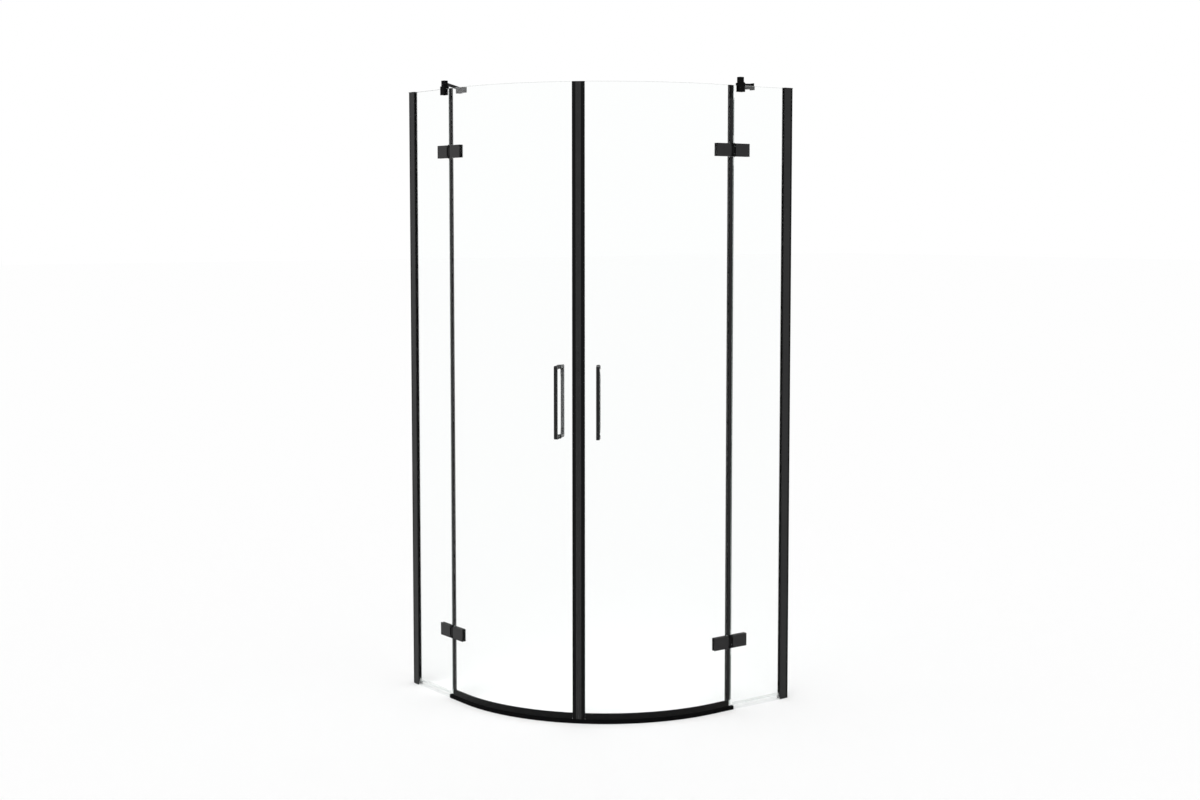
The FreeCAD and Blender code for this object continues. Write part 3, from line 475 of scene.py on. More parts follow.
# The hinge coat's band round the pin is painted shade.
HINGE_COAT = Coating(
    "coated_hinge_painted_barrel_shade", dark=(0.011, 0.011, 0.0113), light=(0.016, 0.016, 0.0163),
    smoothest=0.36, roughest=0.44, grain=CASTING, shine=0.19, band=PAINTED_BARREL_SHADE, deep_shine=0.05,
)
BRACE_COAT = Coating(
    "coated_brace", dark=(0.004, 0.004, 0.0042), light=(0.007, 0.007, 0.0072),
    smoothest=0.50, roughest=0.60, grain=CASTING, shine=0.012,
)
SEAL_VINYL = Coating(
    "seal_vinyl", dark=(0.008, 0.008, 0.0083), light=(0.012, 0.012, 0.0123),
    smoothest=0.30, roughest=0.38, grain=EXTRUDED, shine=0.16, band=END_BLOCK,
)
# The closing seal's band beyond its carriers is painted shade on its legs.
CLOSING_VINYL = Coating(
    "closing_vinyl_painted_leg_shade", dark=(0.012, 0.012, 0.0123), light=(0.017, 0.017, 0.0173),
    smoothest=0.26, roughest=0.34, grain=EXTRUDED, shine=0.22, band=PAINTED_LEG_SHADE,
)
FOOT_VINYL = Coating(
    "foot_vinyl", dark=(0.004, 0.004, 0.0042), light=(0.006, 0.006, 0.0062),
    smoothest=0.34, roughest=0.42, grain=EXTRUDED, shine=0.08,
)
GASKET_RUBBER = Coating(
    "gasket_rubber", dark=(0.006, 0.006, 0.006), light=(0.009, 0.009, 0.009),
    smoothest=0.62, roughest=0.74, grain=RUBBERY, shine=0.10,
)
MOULDED_CAP = Coating(
    "moulded_cap", dark=(0.007, 0.007, 0.0072), light=(0.010, 0.010, 0.0102),
    smoothest=0.46, roughest=0.54, grain=MOULDED, shine=0.12,
)
BLACKED_STEEL = Coating(
    "blacked_steel", dark=(0.030, 0.030, 0.032), light=(0.045, 0.045, 0.048),
    smoothest=0.28, roughest=0.38, grain=MACHINED, shine=0.5, metallic=0.9,
)
PANE = Clear("clear_glass", tint=(0.985, 0.995, 0.991), refraction=1.5, edge_tint=(0.80, 0.90, 0.86))
CLEAR_VINYL = SoftClear(
    "clear_vinyl", skin=(0.93, 0.95, 0.945), least_cover=0.128, most_cover=0.16, smoothest=0.20, roughest=0.30
)

NODE_FINISHES = {
    "wall_channel": CHANNEL_PAINTED_SHADE,
    "glass_profile": PROFILE_COAT,
    "profile_caps": MOULDED_CAP,
    "profile_gaskets": GASKET_RUBBER,
    "fixed_glass": PANE,
    "base_seals": CLEAR_VINYL,
    "threshold_rail": RAIL_COAT,
    "rail_end_caps": MOULDED_CAP,
    "door_glass": PANE,
    "hinge_seal": SEAL_VINYL,
    "magnet_seal": CLOSING_VINYL,
    "magnet_strip": GASKET_RUBBER,
    "bottom_seal": FOOT_VINYL,
    "hinge_frame_leaf": HINGE_COAT,
    "hinge_frame_cover": HINGE_COAT,
    "hinge_door_leaf": HINGE_COAT,
    "hinge_door_cover": HINGE_COAT,
    "hinge_frame_gaskets": GASKET_RUBBER,
    "hinge_door_gaskets": GASKET_RUBBER,
    "hinge_pins": BLACKED_STEEL,
    "handle_outer": FITTING_COAT,
    "handle_inner": INNER_BAR_PAINTED_REFLECTION,
    "handle_shims": GASKET_RUBBER,
    "brace_clamp_pads": GASKET_RUBBER,
    "brace_clamp": BRACE_COAT,
    "brace_grub_screws": BLACKED_STEEL,
    "brace_bar": BRACE_COAT,
    "brace_wall_brackets": BRACE_COAT,
}


class Paintbox:
    """Makes each finish once and hands it out."""

    def __init__(self) -> None:
        """Start with no material made."""
        self.made: dict[str, bpy.types.Material] = {}

    def material(self, finish: Finish) -> bpy.types.Material:
        """The material of a finish.

        Args:
            finish: The finish.

        Returns:
            Its material, made at the first call.
        """
        if finish.name not in self.made:
            self.made[finish.name] = finish.build()
        return self.made[finish.name]

    def paint_nodes(self) -> None:
        """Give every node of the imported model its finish: the longest prefix of its name decides."""
        for name, node in frame["nodes"].items():
            prefix = max((p for p in NODE_FINISHES if name.startswith(p)), key=len)
            for slot in node.material_slots:
                slot.material = self.material(NODE_FINISHES[prefix])
            log.info("%s: %s", name, NODE_FINISHES[prefix].name)


# ---------------------------------------------------------------- surfaces


@dataclass
class Surface:
    """A mesh as arrays: points, faces as lists of point numbers, and if it has them a mark for each point."""

    points: np.ndarray
    faces: list[list[int]]
    marks: np.ndarray | None = None

    def mirrored(self) -> "Surface":
        """The mirror image about the plane x = -y, with its faces turned so that they point outwards again.

        Returns:
            The mirrored surface.
        """
        points = np.column_stack([-self.points[:, 1], -self.points[:, 0], self.points[:, 2]])
        return Surface(points, [face[::-1] for face in self.faces], self.marks)

    def joined(self, other: "Surface") -> "Surface":
        """This surface and another as one, without marks.

        Args:
            other: The other surface.

        Returns:
            Both together.
        """
        shift = len(self.points)
        faces = self.faces + [[number + shift for number in face] for face in other.faces]
        return Surface(np.vstack([self.points, other.points]), faces)


def cells_around(solid: np.ndarray) -> np.ndarray:
    """How many filled cells meet at each point of a grid.

    Args:
        solid: Which cells are filled, as (step, level).

    Returns:
        Numbers from 0 to 4, one more each way than the cells.
    """
    padded = np.pad(solid, 1).astype(int)
    return padded[:-1, :-1] + padded[1:, :-1] + padded[:-1, 1:] + padded[1:, 1:]


def two_sided(front: np.ndarray, back: np.ndarray, solid: np.ndarray) -> Surface:
    """Close two sheets over the same grid into one solid.

    Args:
        front: Points of the front sheet as (step, level, 3). Steps, levels and the way out of the front form
            a right-handed set.
        back: Points of the back sheet on the same grid.
        solid: Which cells of the grid are filled, as (step, level), one less each way.

    Returns:
        The closed surface: a quad on both sheets for each filled cell, and walls where a filled cell meets an
        open one or the grid's edge. Each point is marked 1 on such an edge and 0 elsewhere.
    """
    around = cells_around(solid)
    used = around > 0
    count = int(used.sum())
    number = np.full(used.shape, -1)
    number[used] = np.arange(count)

    step, level = np.nonzero(solid)
    cell = np.column_stack([
        number[step, level], number[step + 1, level], number[step + 1, level + 1], number[step, level + 1]
    ])
    faces = [cell, cell[:, ::-1] + count]
    filled = np.pad(solid, 1)
    # walls across the levels: filled below and open above, then open below and filled above
    for lower, upper, flip in ((True, False, False), (False, True, True)):
        step, level = np.nonzero((filled[1:-1, :-1] == lower) & (filled[1:-1, 1:] == upper))
        first, second = number[step, level], number[step + 1, level]
        wall = np.column_stack([first, second, second + count, first + count])
        faces.append(wall[:, ::-1] if flip else wall)
    # walls across the steps, in the same order
    for lower, upper, flip in ((True, False, False), (False, True, True)):
        step, level = np.nonzero((filled[:-1, 1:-1] == lower) & (filled[1:, 1:-1] == upper))
        first, second = number[step, level], number[step, level + 1]
        wall = np.column_stack([first, first + count, second + count, second])
        faces.append(wall[:, ::-1] if flip else wall)
    rim = np.where(around < CELLS_AT_A_POINT, 1.0, 0.0)[used]
    points = np.vstack([front[used], back[used]])
    return Surface(points, np.vstack(faces).tolist(), np.concatenate([rim, rim]))


def closed_tube(rings: np.ndarray, start: np.ndarray, end: np.ndarray) -> Surface:
    """Join rings of points into a closed skin with a pole at each end.

    Args:
        rings: Points as (ring, point on the ring, 3), anticlockwise seen from the end.
        start: The pole before the first ring.
        end: The pole after the last ring.

    Returns:
        The closed surface: quads between neighbouring rings, and triangles round each pole.
    """
    count, sides = rings.shape[:2]
    ring, side = np.meshgrid(np.arange(count - 1), np.arange(sides), indexing="ij")
    following = (side + 1) % sides
    here, there = ring * sides, (ring + 1) * sides
    quads = np.stack([here + side, here + following, there + following, there + side], axis=-1).reshape(-1, 4)
    first, last = count * sides, count * sides + 1
    step = np.arange(sides)
    ahead = (step + 1) % sides
    lower = np.column_stack([np.full(sides, first), ahead, step])
    top = (count - 1) * sides
    upper = np.column_stack([np.full(sides, last), top + step, top + ahead])
    points = np.vstack([rings.reshape(-1, 3), start, end])
    return Surface(points, quads.tolist() + lower.tolist() + upper.tolist())


Ring = tuple[Shape, float, float]


def turned(profile: list[Ring], seat: np.ndarray, way: np.ndarray) -> Surface:
    """Carry a profile round an axis.

    Args:
        profile: Rings as (shape, radius, height above the seat), from the seat outwards. A hexagon's radius
            is half its width across flats: at an angle t from the middle of a flat it is radius / cos(t).
        seat: The foot of the axis.
        way: The axis, of length one.

    Returns:
        The closed surface.
    """
    helper = np.array([0.0, 0.0, 1.0]) if abs(way[2]) < 0.5 else np.array([1.0, 0.0, 0.0])
    across = np.cross(helper, way)
    across /= np.linalg.norm(across)
    beside = np.cross(way, across)
    angle = np.arange(TURNED_SIDES) * (2 * math.pi / TURNED_SIDES)
    outline = {
        Shape.ROUND: np.ones(TURNED_SIDES),
        Shape.HEXAGON: 1 / np.cos(np.mod(angle, math.pi / 3) - math.pi / 6),
    }
    around = np.cos(angle)[:, None] * across + np.sin(angle)[:, None] * beside
    rings = np.stack([
        seat + height * way + radius * outline[shape][:, None] * around for shape, radius, height in profile
    ])
    return closed_tube(rings, seat + profile[0][2] * way, seat + profile[-1][2] * way)


def socket_rings(socket: float, mouth: float, depth: float) -> list[Ring]:
    """The rings of a hexagonal socket from its mouth at a height down to its slightly narrower floor."""
    return [(Shape.HEXAGON, socket, mouth), (Shape.HEXAGON, socket * SOCKET_TAPER, mouth - depth)]


@dataclass(frozen=True)
class SocketScrew:
    """A screw head with a hexagonal socket."""

    radius: float
    height: float
    rim: float
    socket: float
    depth: float
    rim_steps: int = 4

    def surface(self, seat: np.ndarray, way: np.ndarray) -> Surface:
        """The head on a seat.

        The rim is a quarter circle of radius rim: at a turn t it stands rim * sin(t) above the head's side
        and rim * (1 - cos(t)) inside it.

        Args:
            seat: The middle of the head's foot.
            way: The screw's axis, outwards.

        Returns:
            The closed head.
        """
        profile = [(Shape.ROUND, self.radius, 0.0)]
        for turn in np.linspace(0, math.pi / 2, self.rim_steps + 1):
            inset = self.rim * (1 - math.cos(turn))
            height = self.height - self.rim * (1 - math.sin(turn))
            profile.append((Shape.ROUND, self.radius - inset, height))
        return turned(profile + socket_rings(self.socket, self.height, self.depth), seat, way)


class Workshop:
    """Turns surfaces into pieces of the model."""

    def __init__(self, paintbox: Paintbox) -> None:
        """Keep the finishes at hand."""
        self.paintbox = paintbox

    def piece(self, name: str, surface: Surface, finish: Finish, slot: Slot, body: str) -> bpy.types.Object:
        """Make a surface a piece that rides on a body.

        Args:
            name: The piece's name.
            surface: Its skin.
            finish: What it looks like.
            slot: The record's slot of that finish; not used.
            body: The body that carries it.

        Returns:
            The new object.
        """
        mesh = bpy.data.meshes.new(name)
        mesh.from_pydata(surface.points.tolist(), [], surface.faces)
        if surface.marks is not None:
            mesh.attributes.new(EDGE_MARK, "FLOAT", "POINT").data.foreach_set("value", surface.marks)
        mesh.materials.append(self.paintbox.material(finish))
        mesh.validate()
        mesh.shade_smooth()
        mesh.set_sharp_from_angle(angle=SHARP_ANGLE)
        piece = bpy.data.objects.new(name, mesh)
        bpy.context.scene.collection.objects.link(piece)
        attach(piece, body)
        log.info("%s: %d faces on %s", name, len(surface.faces), body)
        return piece

    def pair(
        self,
        name: str,
        right: Surface,
        finish: Finish,
        slot: Slot,
        bodies: dict[Side, str],
        instead: str = "",
    ) -> None:
        """Make a right-hand surface and its mirror image two pieces.

        Args:
            name: Their name, before the side.
            right: The right-hand surface.
            finish: What they look like.
            slot: The record's slot of that finish.
            bodies: The body that carries each.
            instead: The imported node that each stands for, before the side, if it stands for one.
        """
        for side, surface in ((Side.RIGHT, right), (Side.LEFT, right.mirrored())):
            piece = self.piece(f"{name}_{side.value}", surface, finish, slot, bodies[side])
            if instead:
                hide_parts(f"{instead}_{side.value}")

    def soften(self, prefix: str, width: float, steps: int = 2) -> None:
        """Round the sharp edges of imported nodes.

        Args:
            prefix: How their names start.
            width: How far the rounding reaches over each face.
            steps: Faces across the rounding.
        """
        for name, node in frame["nodes"].items():
            if name.startswith(prefix):
                weld = node.modifiers.new("join", "WELD")
                weld.merge_threshold = MERGE_DISTANCE
                flat = node.modifiers.new("flats", "DECIMATE")
                flat.decimate_type = "DISSOLVE"
                flat.angle_limit = FLAT_ANGLE
                bevel = node.modifiers.new("edges", "BEVEL")
                bevel.width = width
                bevel.segments = steps
                bevel.limit_method = "ANGLE"
                bevel.angle_limit = ROUNDED_ANGLE
                bevel.harden_normals = True


ON_FRAME = {Side.RIGHT: "frame", Side.LEFT: "frame"}
ON_DOORS = {side: side.door for side in Side}


# ---------------------------------------------------------------- sub-assemblies


INWARD = np.array([-1.0, 0.0, 0.0])
UPWARD = np.array([0.0, 0.0, 1.0])


def corners(node: str) -> tuple[np.ndarray, np.ndarray]:
    """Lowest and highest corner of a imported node."""
    low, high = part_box(node)
    return np.array(low), np.array(high)


def side_point(depth: float, run: float, level: float) -> np.ndarray:
    """A point of the right half: depth along +X, run along the side and level above the tray."""
    return np.array([depth, run, level])


def together(surfaces: list[Surface]) -> Surface:
    """Several surfaces as one.

    Args:
        surfaces: Two or more surfaces.

    Returns:
        All of them, without marks.
    """
    whole = surfaces[0]
    for surface in surfaces[1:]:
        whole = whole.joined(surface)
    return whole


@dataclass
class WallProfiles:
    """The upright profiles on the walls, with the screws that lock them, on the shower's side."""

    screw: SocketScrew = SocketScrew(
        radius=3.6 * MM, height=2.2 * MM, rim=1.2 * MM, socket=1.3 * MM, depth=1.3 * MM
    )
    spread: float = 775 * MM
    edge_round: float = 0.3 * MM

    def build(self, workshop: Workshop) -> None:
        """Round the profiles' edges and add the lock screws to the inner face.

        Args:
            workshop: Makes the pieces.
        """
        workshop.soften("glass_profile", self.edge_round)
        workshop.soften("profile_caps", self.edge_round)
        low, high = corners("glass_profile_right")
        channel_low, _ = corners("wall_channel_right")
        run = (channel_low[1] + high[1]) / 2
        middle = (low[2] + high[2]) / 2
        screws = together([
            self.screw.surface(side_point(low[0], run, middle + step * self.spread), INWARD)
            for step in (-1, 0, 1)
        ])
        workshop.pair("profile_lock_screws", screws, BLACKED_STEEL, Slot.STEEL, ON_FRAME)


@dataclass
class Panes:
    """The glass, with ground edges, on a fine grid so that the bend is smooth.

    A pane is worked out over its path and its level. The path is measured from the end of the arc: positive
    along the straight side, negative round the arc, where a length t lies at the angle t / arc_radius about
    the arc's centre. Half a pane's thickness stands on both sides of the path, and less by the arris on its
    outline.
    """

    arc_centre: tuple[float, float] = (-120 * MM, 120 * MM)
    arc_radius: float = 550 * MM
    half_arc: float = math.radians(45)
    meeting_gap: float = 10 * MM
    thick: float = 6 * MM
    arris: float = 0.6 * MM
    arc_steps: int = 120
    straight_steps: int = 12
    level_steps: int = 40
    pin_run: float = 76 * MM
    notch_root: float = 9.5 * MM
    notch_half: float = 21.5 * MM
    slot_end: float = 46 * MM
    slot_half: float = 10 * MM
    edge_gap: float = 3.5 * MM
    handle_run: float = 371.97 * MM
    hole: float = 5 * MM
    hinge_levels: tuple[float, float] = (218 * MM, 1751 * MM)
    stud_levels: tuple[float, float] = (882 * MM, 1094 * MM)

    def build(self, workshop: Workshop) -> None:
        """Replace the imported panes.

        Args:
            workshop: Makes the pieces.
        """
        low, high = corners("fixed_glass_right")
        wall_edge = high[1] - self.arc_centre[1]
        fixed = self.pane((self.pin_run + self.edge_gap, wall_edge), (low[2], high[2]), 1)
        workshop.pair("fixed_pane", fixed, PANE, Slot.GLASS, ON_FRAME, "fixed_glass")
        low, high = corners("door_glass_right")
        free_edge = self.half_arc * self.arc_radius - self.meeting_gap
        door = self.pane((-free_edge, self.pin_run - self.edge_gap), (low[2], high[2]), -1)
        workshop.pair("door_pane", door, PANE, Slot.GLASS, ON_DOORS, "door_glass")

    def lines(self, places: list[float], low: float, high: float, steps: int) -> np.ndarray:
        """Grid lines at some places, an arris before and after each, and evenly between.

        Args:
            places: Where lines have to be.
            low: The first line.
            high: The last line.
            steps: How many even lines there would be without the places.

        Returns:
            The lines in order.
        """
        marks = np.array([low, high, *places])
        near_marks = np.concatenate([marks, marks - self.arris, marks + self.arris])
        even = np.linspace(low, high, steps)
        even = even[np.abs(even[:, None] - near_marks[None, :]).min(axis=1) > self.arris]
        every = np.concatenate([near_marks, even])
        every = every[(every > low - ROUNDING) & (every < high + ROUNDING)]
        return np.unique(np.round(every, GRID_DIGITS))

    def path(self, run: np.ndarray, offset: np.ndarray, level: np.ndarray) -> np.ndarray:
        """Points beside the path.

        Args:
            run: How far along the path.
            offset: How far outwards from it.
            level: How high above the tray.

        Returns:
            The points, of the same grid.
        """
        angle = np.minimum(run, 0) / self.arc_radius
        reach = self.arc_radius + offset
        x = self.arc_centre[0] + reach * np.cos(angle)
        y = self.arc_centre[1] + reach * np.sin(angle) + np.maximum(run, 0)
        return np.stack([x, y, level], axis=-1)

    def pane(self, ends: tuple[float, float], levels: tuple[float, float], way: int) -> Surface:
        """One pane between two ends of the path.

        Args:
            ends: Where it starts and ends on the path.
            levels: Its lower and upper edge.
            way: 1 if it runs from the hinge towards the wall, -1 if it runs round the arc.

        Returns:
            The closed pane with its cut-outs for the hinges, and on the arc the holes for the handle's studs.
        """
        root, slot = self.pin_run + way * self.notch_root, self.pin_run + way * self.slot_end
        runs, heights = [root, slot], []
        for level in self.hinge_levels:
            for half in (self.notch_half, self.slot_half):
                heights += [level - half, level + half]
        bent = ends[0] < 0
        if bent:
            runs += [-self.handle_run - self.hole, -self.handle_run, -self.handle_run + self.hole, 0.0]
            for level in self.stud_levels:
                heights += [level - self.hole, level, level + self.hole]
        run = self.lines(runs, *ends, self.arc_steps if bent else self.straight_steps)
        height = self.lines(heights, *levels, self.level_steps)
        cell_run, cell_height = np.meshgrid(
            (run[1:] + run[:-1]) / 2, (height[1:] + height[:-1]) / 2, indexing="ij"
        )
        solid = np.ones_like(cell_run, dtype=bool)
        for level in self.hinge_levels:
            away = np.abs(cell_height - level)
            solid &= ~((way * (cell_run - root) < 0) & (away < self.notch_half))
            solid &= ~((way * (cell_run - slot) < 0) & (away < self.slot_half))
        run, height = np.meshgrid(run, height, indexing="ij")
        for level in self.stud_levels if bent else ():
            beside, above = np.abs(cell_run + self.handle_run), np.abs(cell_height - level)
            solid &= ~((beside < self.hole) & (above < self.hole))
            # the four corners of the hole are drawn in to its circle
            corner = np.abs(np.abs(run + self.handle_run) - self.hole) < SAME_LINE
            corner &= np.abs(np.abs(height - level) - self.hole) < SAME_LINE
            pull = np.where(corner, math.sqrt(0.5), 1.0)
            run = -self.handle_run + (run + self.handle_run) * pull
            height = level + (height - level) * pull
        on_outline = cells_around(solid) < CELLS_AT_A_POINT
        half = np.where(on_outline, self.thick / 2 - self.arris, self.thick / 2)
        return two_sided(self.path(run, half, height), self.path(run, -half, height), solid)


@dataclass(frozen=True)
class Lip:
    """A soft lip: the ends of its middle line as depth and run from the pin, its bow, thickness and top."""

    root: tuple[float, float]
    tip: tuple[float, float]
    bow: float
    thick: tuple[float, float]
    top: float


@dataclass
class HingeSeals:
    """The soft lips of the hinge-side seals: one lies on the fixed pane's inner face, one on the door's own.

    A flat web joins the two inside the clip's leg and shows only where the clip ends short of a hinge. A lip
    is worked out over its length and its level. Its middle line leaves the clip and bends away from the glass
    by a sine, and it thins evenly towards its tip.
    """

    pin_depth: float = 430 * MM
    pin_run: float = 196 * MM
    leading: Lip = Lip(
        root=(-4.0 * MM, -2.6 * MM), tip=(-3.55 * MM, 9.0 * MM), bow=0.6 * MM, thick=(1.0 * MM, 0.35 * MM),
        top=1910.5 * MM,
    )
    web: Lip = Lip(
        root=(-3.7 * MM, -2.6 * MM), tip=(-3.7 * MM, -11.0 * MM), bow=0.0, thick=(0.9 * MM, 0.9 * MM),
        top=1910.5 * MM,
    )
    trailing: Lip = Lip(
        root=(-3.7 * MM, -11.0 * MM), tip=(-3.35 * MM, -17.0 * MM), bow=0.0, thick=(0.9 * MM, 0.3 * MM),
        top=1948.0 * MM,
    )
    steps: int = 14
    lower_pieces: tuple[tuple[float, float], ...] = ((31.1 * MM, 197.7 * MM), (238.3 * MM, 1730.7 * MM))
    top_piece: float = 1771.3 * MM

    def build(self, workshop: Workshop) -> None:
        """Make the lips of both doors.

        Args:
            workshop: Makes the pieces.
        """
        lips = together([
            self.surface(lip, low, high)
            for lip in (self.leading, self.web, self.trailing)
            for low, high in (*self.lower_pieces, (self.top_piece, lip.top))
        ])
        workshop.pair("hinge_seal_lips", lips, SEAL_VINYL, Slot.SEAL, ON_DOORS)

    def surface(self, lip: Lip, low: float, high: float) -> Surface:
        """A piece of a lip.

        Args:
            lip: The lip's section.
            low: The level at which the piece starts.
            high: The level at which it ends.

        Returns:
            The closed piece.
        """
        share = np.linspace(0, 1, self.steps)
        bow = lip.bow * np.sin(math.pi * share)
        depth = self.pin_depth + lip.root[0] + (lip.tip[0] - lip.root[0]) * share - bow
        run = self.pin_run + lip.root[1] + (lip.tip[1] - lip.root[1]) * share
        half = (lip.thick[0] + (lip.thick[1] - lip.thick[0]) * share) / 2
        run, level = np.meshgrid(run, (low, high), indexing="ij")
        front = 1 if lip.tip[1] > lip.root[1] else -1
        sheets = [
            np.stack([np.broadcast_to((depth + way * half)[:, None], run.shape), run, level], axis=-1)
            for way in (front, -front)
        ]
        return two_sided(*sheets, np.ones((self.steps - 1, 1), dtype=bool))


@dataclass
class Hinges:
    """Rounded leaves, the screws that clamp the inner leaves to the bosses, and the pins."""

    screw: SocketScrew = SocketScrew(
        radius=4.3 * MM, height=1.5 * MM, rim=0.9 * MM, socket=1.6 * MM, depth=1.2 * MM
    )
    setbacks: tuple[float, float] = (19 * MM, 36 * MM)
    edge_round: float = 0.5 * MM
    pin_radius: float = 4 * MM
    pin_chamfer: float = 0.5 * MM
    dimple: float = 0.9 * MM
    dimple_floor: float = 0.36 * MM

    def build(self, workshop: Workshop) -> None:
        """Round the leaves, set two screws on every inner leaf and put the pins in.

        Args:
            workshop: Makes the pieces.
        """
        for prefix in ("hinge_frame_leaf", "hinge_door_leaf", "hinge_frame_cover", "hinge_door_cover"):
            workshop.soften(prefix, self.edge_round)
        pin = next(joint for joint in frame["joints"] if joint["name"] == "door_right_hinge")["pos_m"]
        for leaf, way, bodies in (("frame", 1, ON_FRAME), ("door", -1, ON_DOORS)):
            for level in ("upper", "lower"):
                low, high = corners(f"hinge_{leaf}_cover_{level}_right")
                middle = (low[2] + high[2]) / 2
                screws = together([
                    self.screw.surface(side_point(low[0], pin[1] + way * back, middle), INWARD)
                    for back in self.setbacks
                ])
                workshop.pair(f"hinge_{leaf}_screws_{level}", screws, BLACKED_STEEL, Slot.STEEL, bodies)
        self.add_pins(workshop, pin)

    def add_pins(self, workshop: Workshop, pin: list[float]) -> None:
        """Pins with chamfered ends and a centre drilled in each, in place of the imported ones.

        Args:
            workshop: Makes the pieces.
            pin: A point on the right pins' axis.
        """
        low, high = corners("hinge_pins")
        leaf_low, leaf_high = corners("hinge_frame_leaf_lower_right")
        length = leaf_high[2] - leaf_low[2] - 2 * (low[2] - leaf_low[2])
        end = [
            (self.dimple_floor, self.dimple),
            (self.dimple, 0.0),
            (self.pin_radius - self.pin_chamfer, 0.0),
            (self.pin_radius, self.pin_chamfer),
        ]
        profile = [(Shape.ROUND, radius, depth) for radius, depth in end]
        profile += [(Shape.ROUND, radius, length - depth) for radius, depth in reversed(end)]
        surfaces = []
        for foot in (low[2], high[2] - length):
            surface = turned(profile, side_point(pin[0], pin[1], foot), UPWARD)
            surfaces += [surface, surface.mirrored()]
        pins = workshop.piece("turned_hinge_pins", together(surfaces), BLACKED_STEEL, Slot.STEEL, "frame")
        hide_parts("hinge_pins")


@dataclass
class Handles:
    """Rounded flat bars, and the small screws that lock the inner bar on its studs, under its legs."""

    edge_round: float = 0.8 * MM
    screw: SocketScrew = SocketScrew(
        radius=1.9 * MM, height=0.25 * MM, rim=0.2 * MM, socket=0.9 * MM, depth=1.0 * MM
    )
    screw_reach: float = 538 * MM
    leg: float = 10 * MM

    def build(self, workshop: Workshop) -> None:
        """Round the bars' edges and add the screws.

        Args:
            workshop: Makes the pieces.
        """
        workshop.soften("handle_outer", self.edge_round)
        workshop.soften("handle_inner", self.edge_round)
        panes = Panes()
        angle = -panes.handle_run / panes.arc_radius
        x = panes.arc_centre[0] + self.screw_reach * math.cos(angle)
        y = panes.arc_centre[1] + self.screw_reach * math.sin(angle)
        low, high = corners("handle_inner_right")
        screws = together([
            self.screw.surface(side_point(x, y, foot), -UPWARD) for foot in (low[2], high[2] - self.leg)
        ])
        workshop.pair("handle_lock_screws", screws, BLACKED_STEEL, Slot.STEEL, ON_DOORS)


@dataclass
class Braces:
    """Rounded clamps, bars and brackets, and the socket screws that press the clamps' pads to the glass."""

    edge_round: float = 0.6 * MM
    screw_depth: float = 426 * MM
    screw_length: float = 5.4 * MM
    socket: float = 1.5 * MM
    socket_depth: float = 2.4 * MM
    point: float = 0.7 * MM
    chamfer: float = 0.35 * MM

    def build(self, workshop: Workshop) -> None:
        """Round the castings' edges and put the screws in.

        Args:
            workshop: Makes the pieces.
        """
        for prefix in ("brace_clamp_right", "brace_clamp_left", "brace_bar", "brace_wall_brackets"):
            workshop.soften(prefix, self.edge_round)
        low, high = corners("brace_grub_screws")
        clamp_low, clamp_high = corners("brace_clamp_right")
        radius = (high[2] - low[2]) / 2
        run = (clamp_low[1] + clamp_high[1]) / 2
        seat = side_point(self.screw_depth, run, (low[2] + high[2]) / 2)
        profile = [
            (Shape.ROUND, radius - self.point, 0.0),
            (Shape.ROUND, radius, self.point),
            (Shape.ROUND, radius, self.screw_length - self.chamfer),
            (Shape.ROUND, radius - self.chamfer, self.screw_length),
            *socket_rings(self.socket, self.screw_length, self.socket_depth),
        ]
        screw = turned(profile, seat, INWARD)
        pair = screw.joined(screw.mirrored())
        screws = workshop.piece("clamp_socket_screws", pair, BLACKED_STEEL, Slot.STEEL, "frame")
        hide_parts("brace_grub_screws")


# ---------------------------------------------------------------- studio


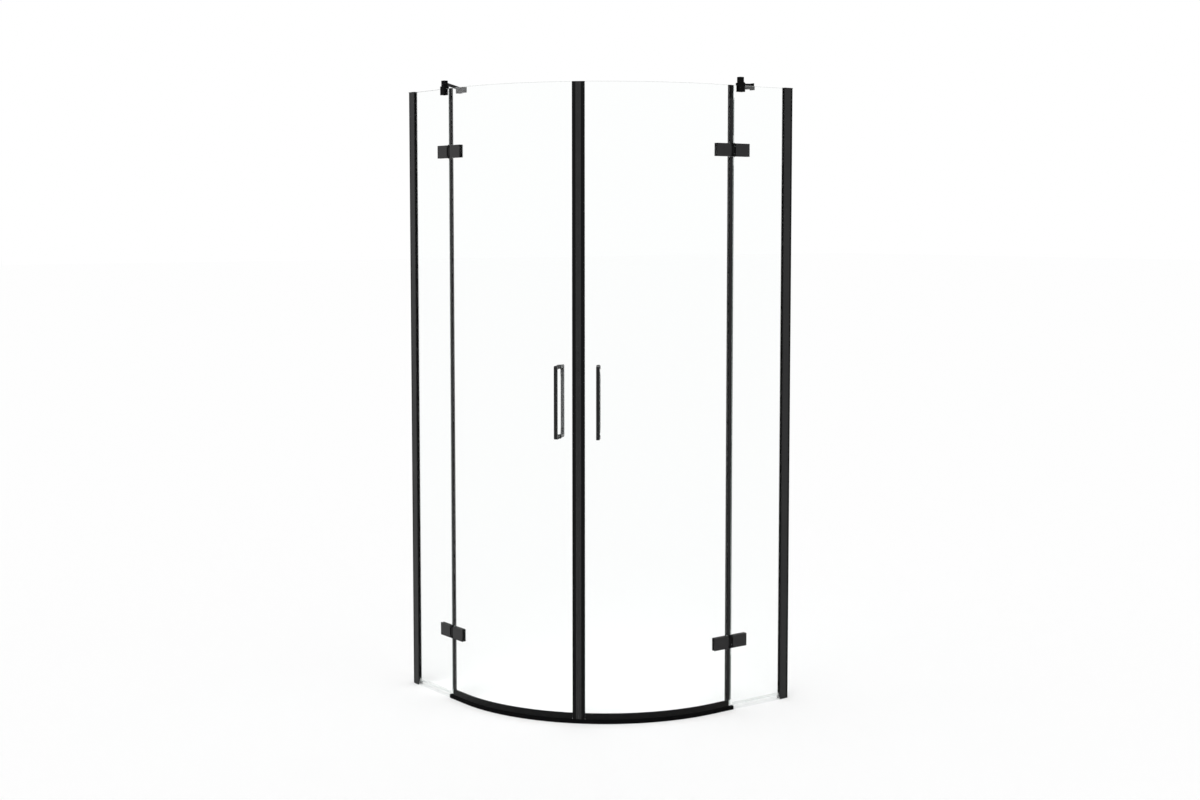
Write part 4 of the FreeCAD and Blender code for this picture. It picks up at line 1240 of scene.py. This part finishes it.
@dataclass
class Studio:
    """A white floor under an even white sky, with one soft lamp, and the camera."""

    floor_half: float = 60.0
    floor_colour: float = 0.97
    sky_on_surfaces: float = 0.72
    lamp_strength: float = 1.15
    lamp_width: float = math.radians(40)
    lamp_tilt: tuple[float, float, float] = (math.radians(34), math.radians(8), math.radians(20))
    eye: tuple[float, float, float] = (4.5098, -3.3190, 1.5268)
    heading: float = math.radians(36.433)
    downward: float = math.radians(4.436)
    lens: float = 52.143
    sensor: float = 36.0
    shift: float = -0.035

    def build(self) -> None:
        """Make the floor, the light and the camera."""
        self.lay_floor()
        self.light_sky()
        self.hang_lamp()
        self.set_camera()
        bpy.context.scene.view_settings.view_transform = "Standard"

    def lay_floor(self) -> None:
        """A large plain square on z = 0."""
        half = self.floor_half
        mesh = bpy.data.meshes.new("floor")
        corner_points = [(-half, -half, 0), (half, -half, 0), (half, half, 0), (-half, half, 0)]
        mesh.from_pydata(corner_points, [], [(0, 1, 2, 3)])
        graph = Graph(bpy.data.materials.new("floor_paper"))
        paper = graph.add("BsdfDiffuse", Color=opaque((self.floor_colour,) * 3))
        mesh.materials.append(graph.finish(paper))
        floor = bpy.data.objects.new("floor", mesh)
        bpy.context.scene.collection.objects.link(floor)

    def light_sky(self) -> None:
        """White to the eye, in reflections and through glass, and softer as a light."""
        sky = Graph(bpy.data.worlds.new("sky"), "OutputWorld")
        path = sky.add("LightPath").outputs
        seen = sky.math("MAXIMUM", path["Is Camera Ray"], path["Is Glossy Ray"])
        bright = sky.math("MAXIMUM", seen, path["Is Transmission Ray"])
        strength = sky.span(bright, 0.0, 1.0, self.sky_on_surfaces, 1.0)
        background = sky.add("Background", Color=opaque((1.0, 1.0, 1.0)), Strength=strength)
        bpy.context.scene.world = sky.finish(background)

    def hang_lamp(self) -> None:
        """One wide, far lamp from above."""
        light = bpy.data.lights.new("soft_lamp", "SUN")
        light.energy = self.lamp_strength
        light.angle = self.lamp_width
        lamp = bpy.data.objects.new("soft_lamp", light)
        lamp.rotation_euler = self.lamp_tilt
        bpy.context.scene.collection.objects.link(lamp)

    def set_camera(self) -> None:
        """The photograph's view, slightly downward from eye height."""
        camera = bpy.data.cameras.new("camera")
        camera.lens = self.lens
        camera.sensor_width = self.sensor
        camera.shift_y = self.shift
        stand = bpy.data.objects.new("camera", camera)
        level = math.cos(self.downward)
        ahead = (-math.cos(self.heading) * level, math.sin(self.heading) * level, -math.sin(self.downward))
        stand.location = self.eye
        stand.rotation_euler = Vector(ahead).to_track_quat("-Z", "Y").to_euler()
        bpy.context.scene.collection.objects.link(stand)
        bpy.context.scene.camera = stand


def main() -> None:
    """Build the looks in order."""
    logging.basicConfig(level=logging.INFO, format="%(name)s: %(message)s")
    paintbox = Paintbox()
    paintbox.paint_nodes()
    workshop = Workshop(paintbox)
    for part in (WallProfiles(), Panes(), HingeSeals(), Hinges(), Handles(), Braces()):
        part.build(workshop)
    Studio().build()


if __name__ == "__main__":
    main()
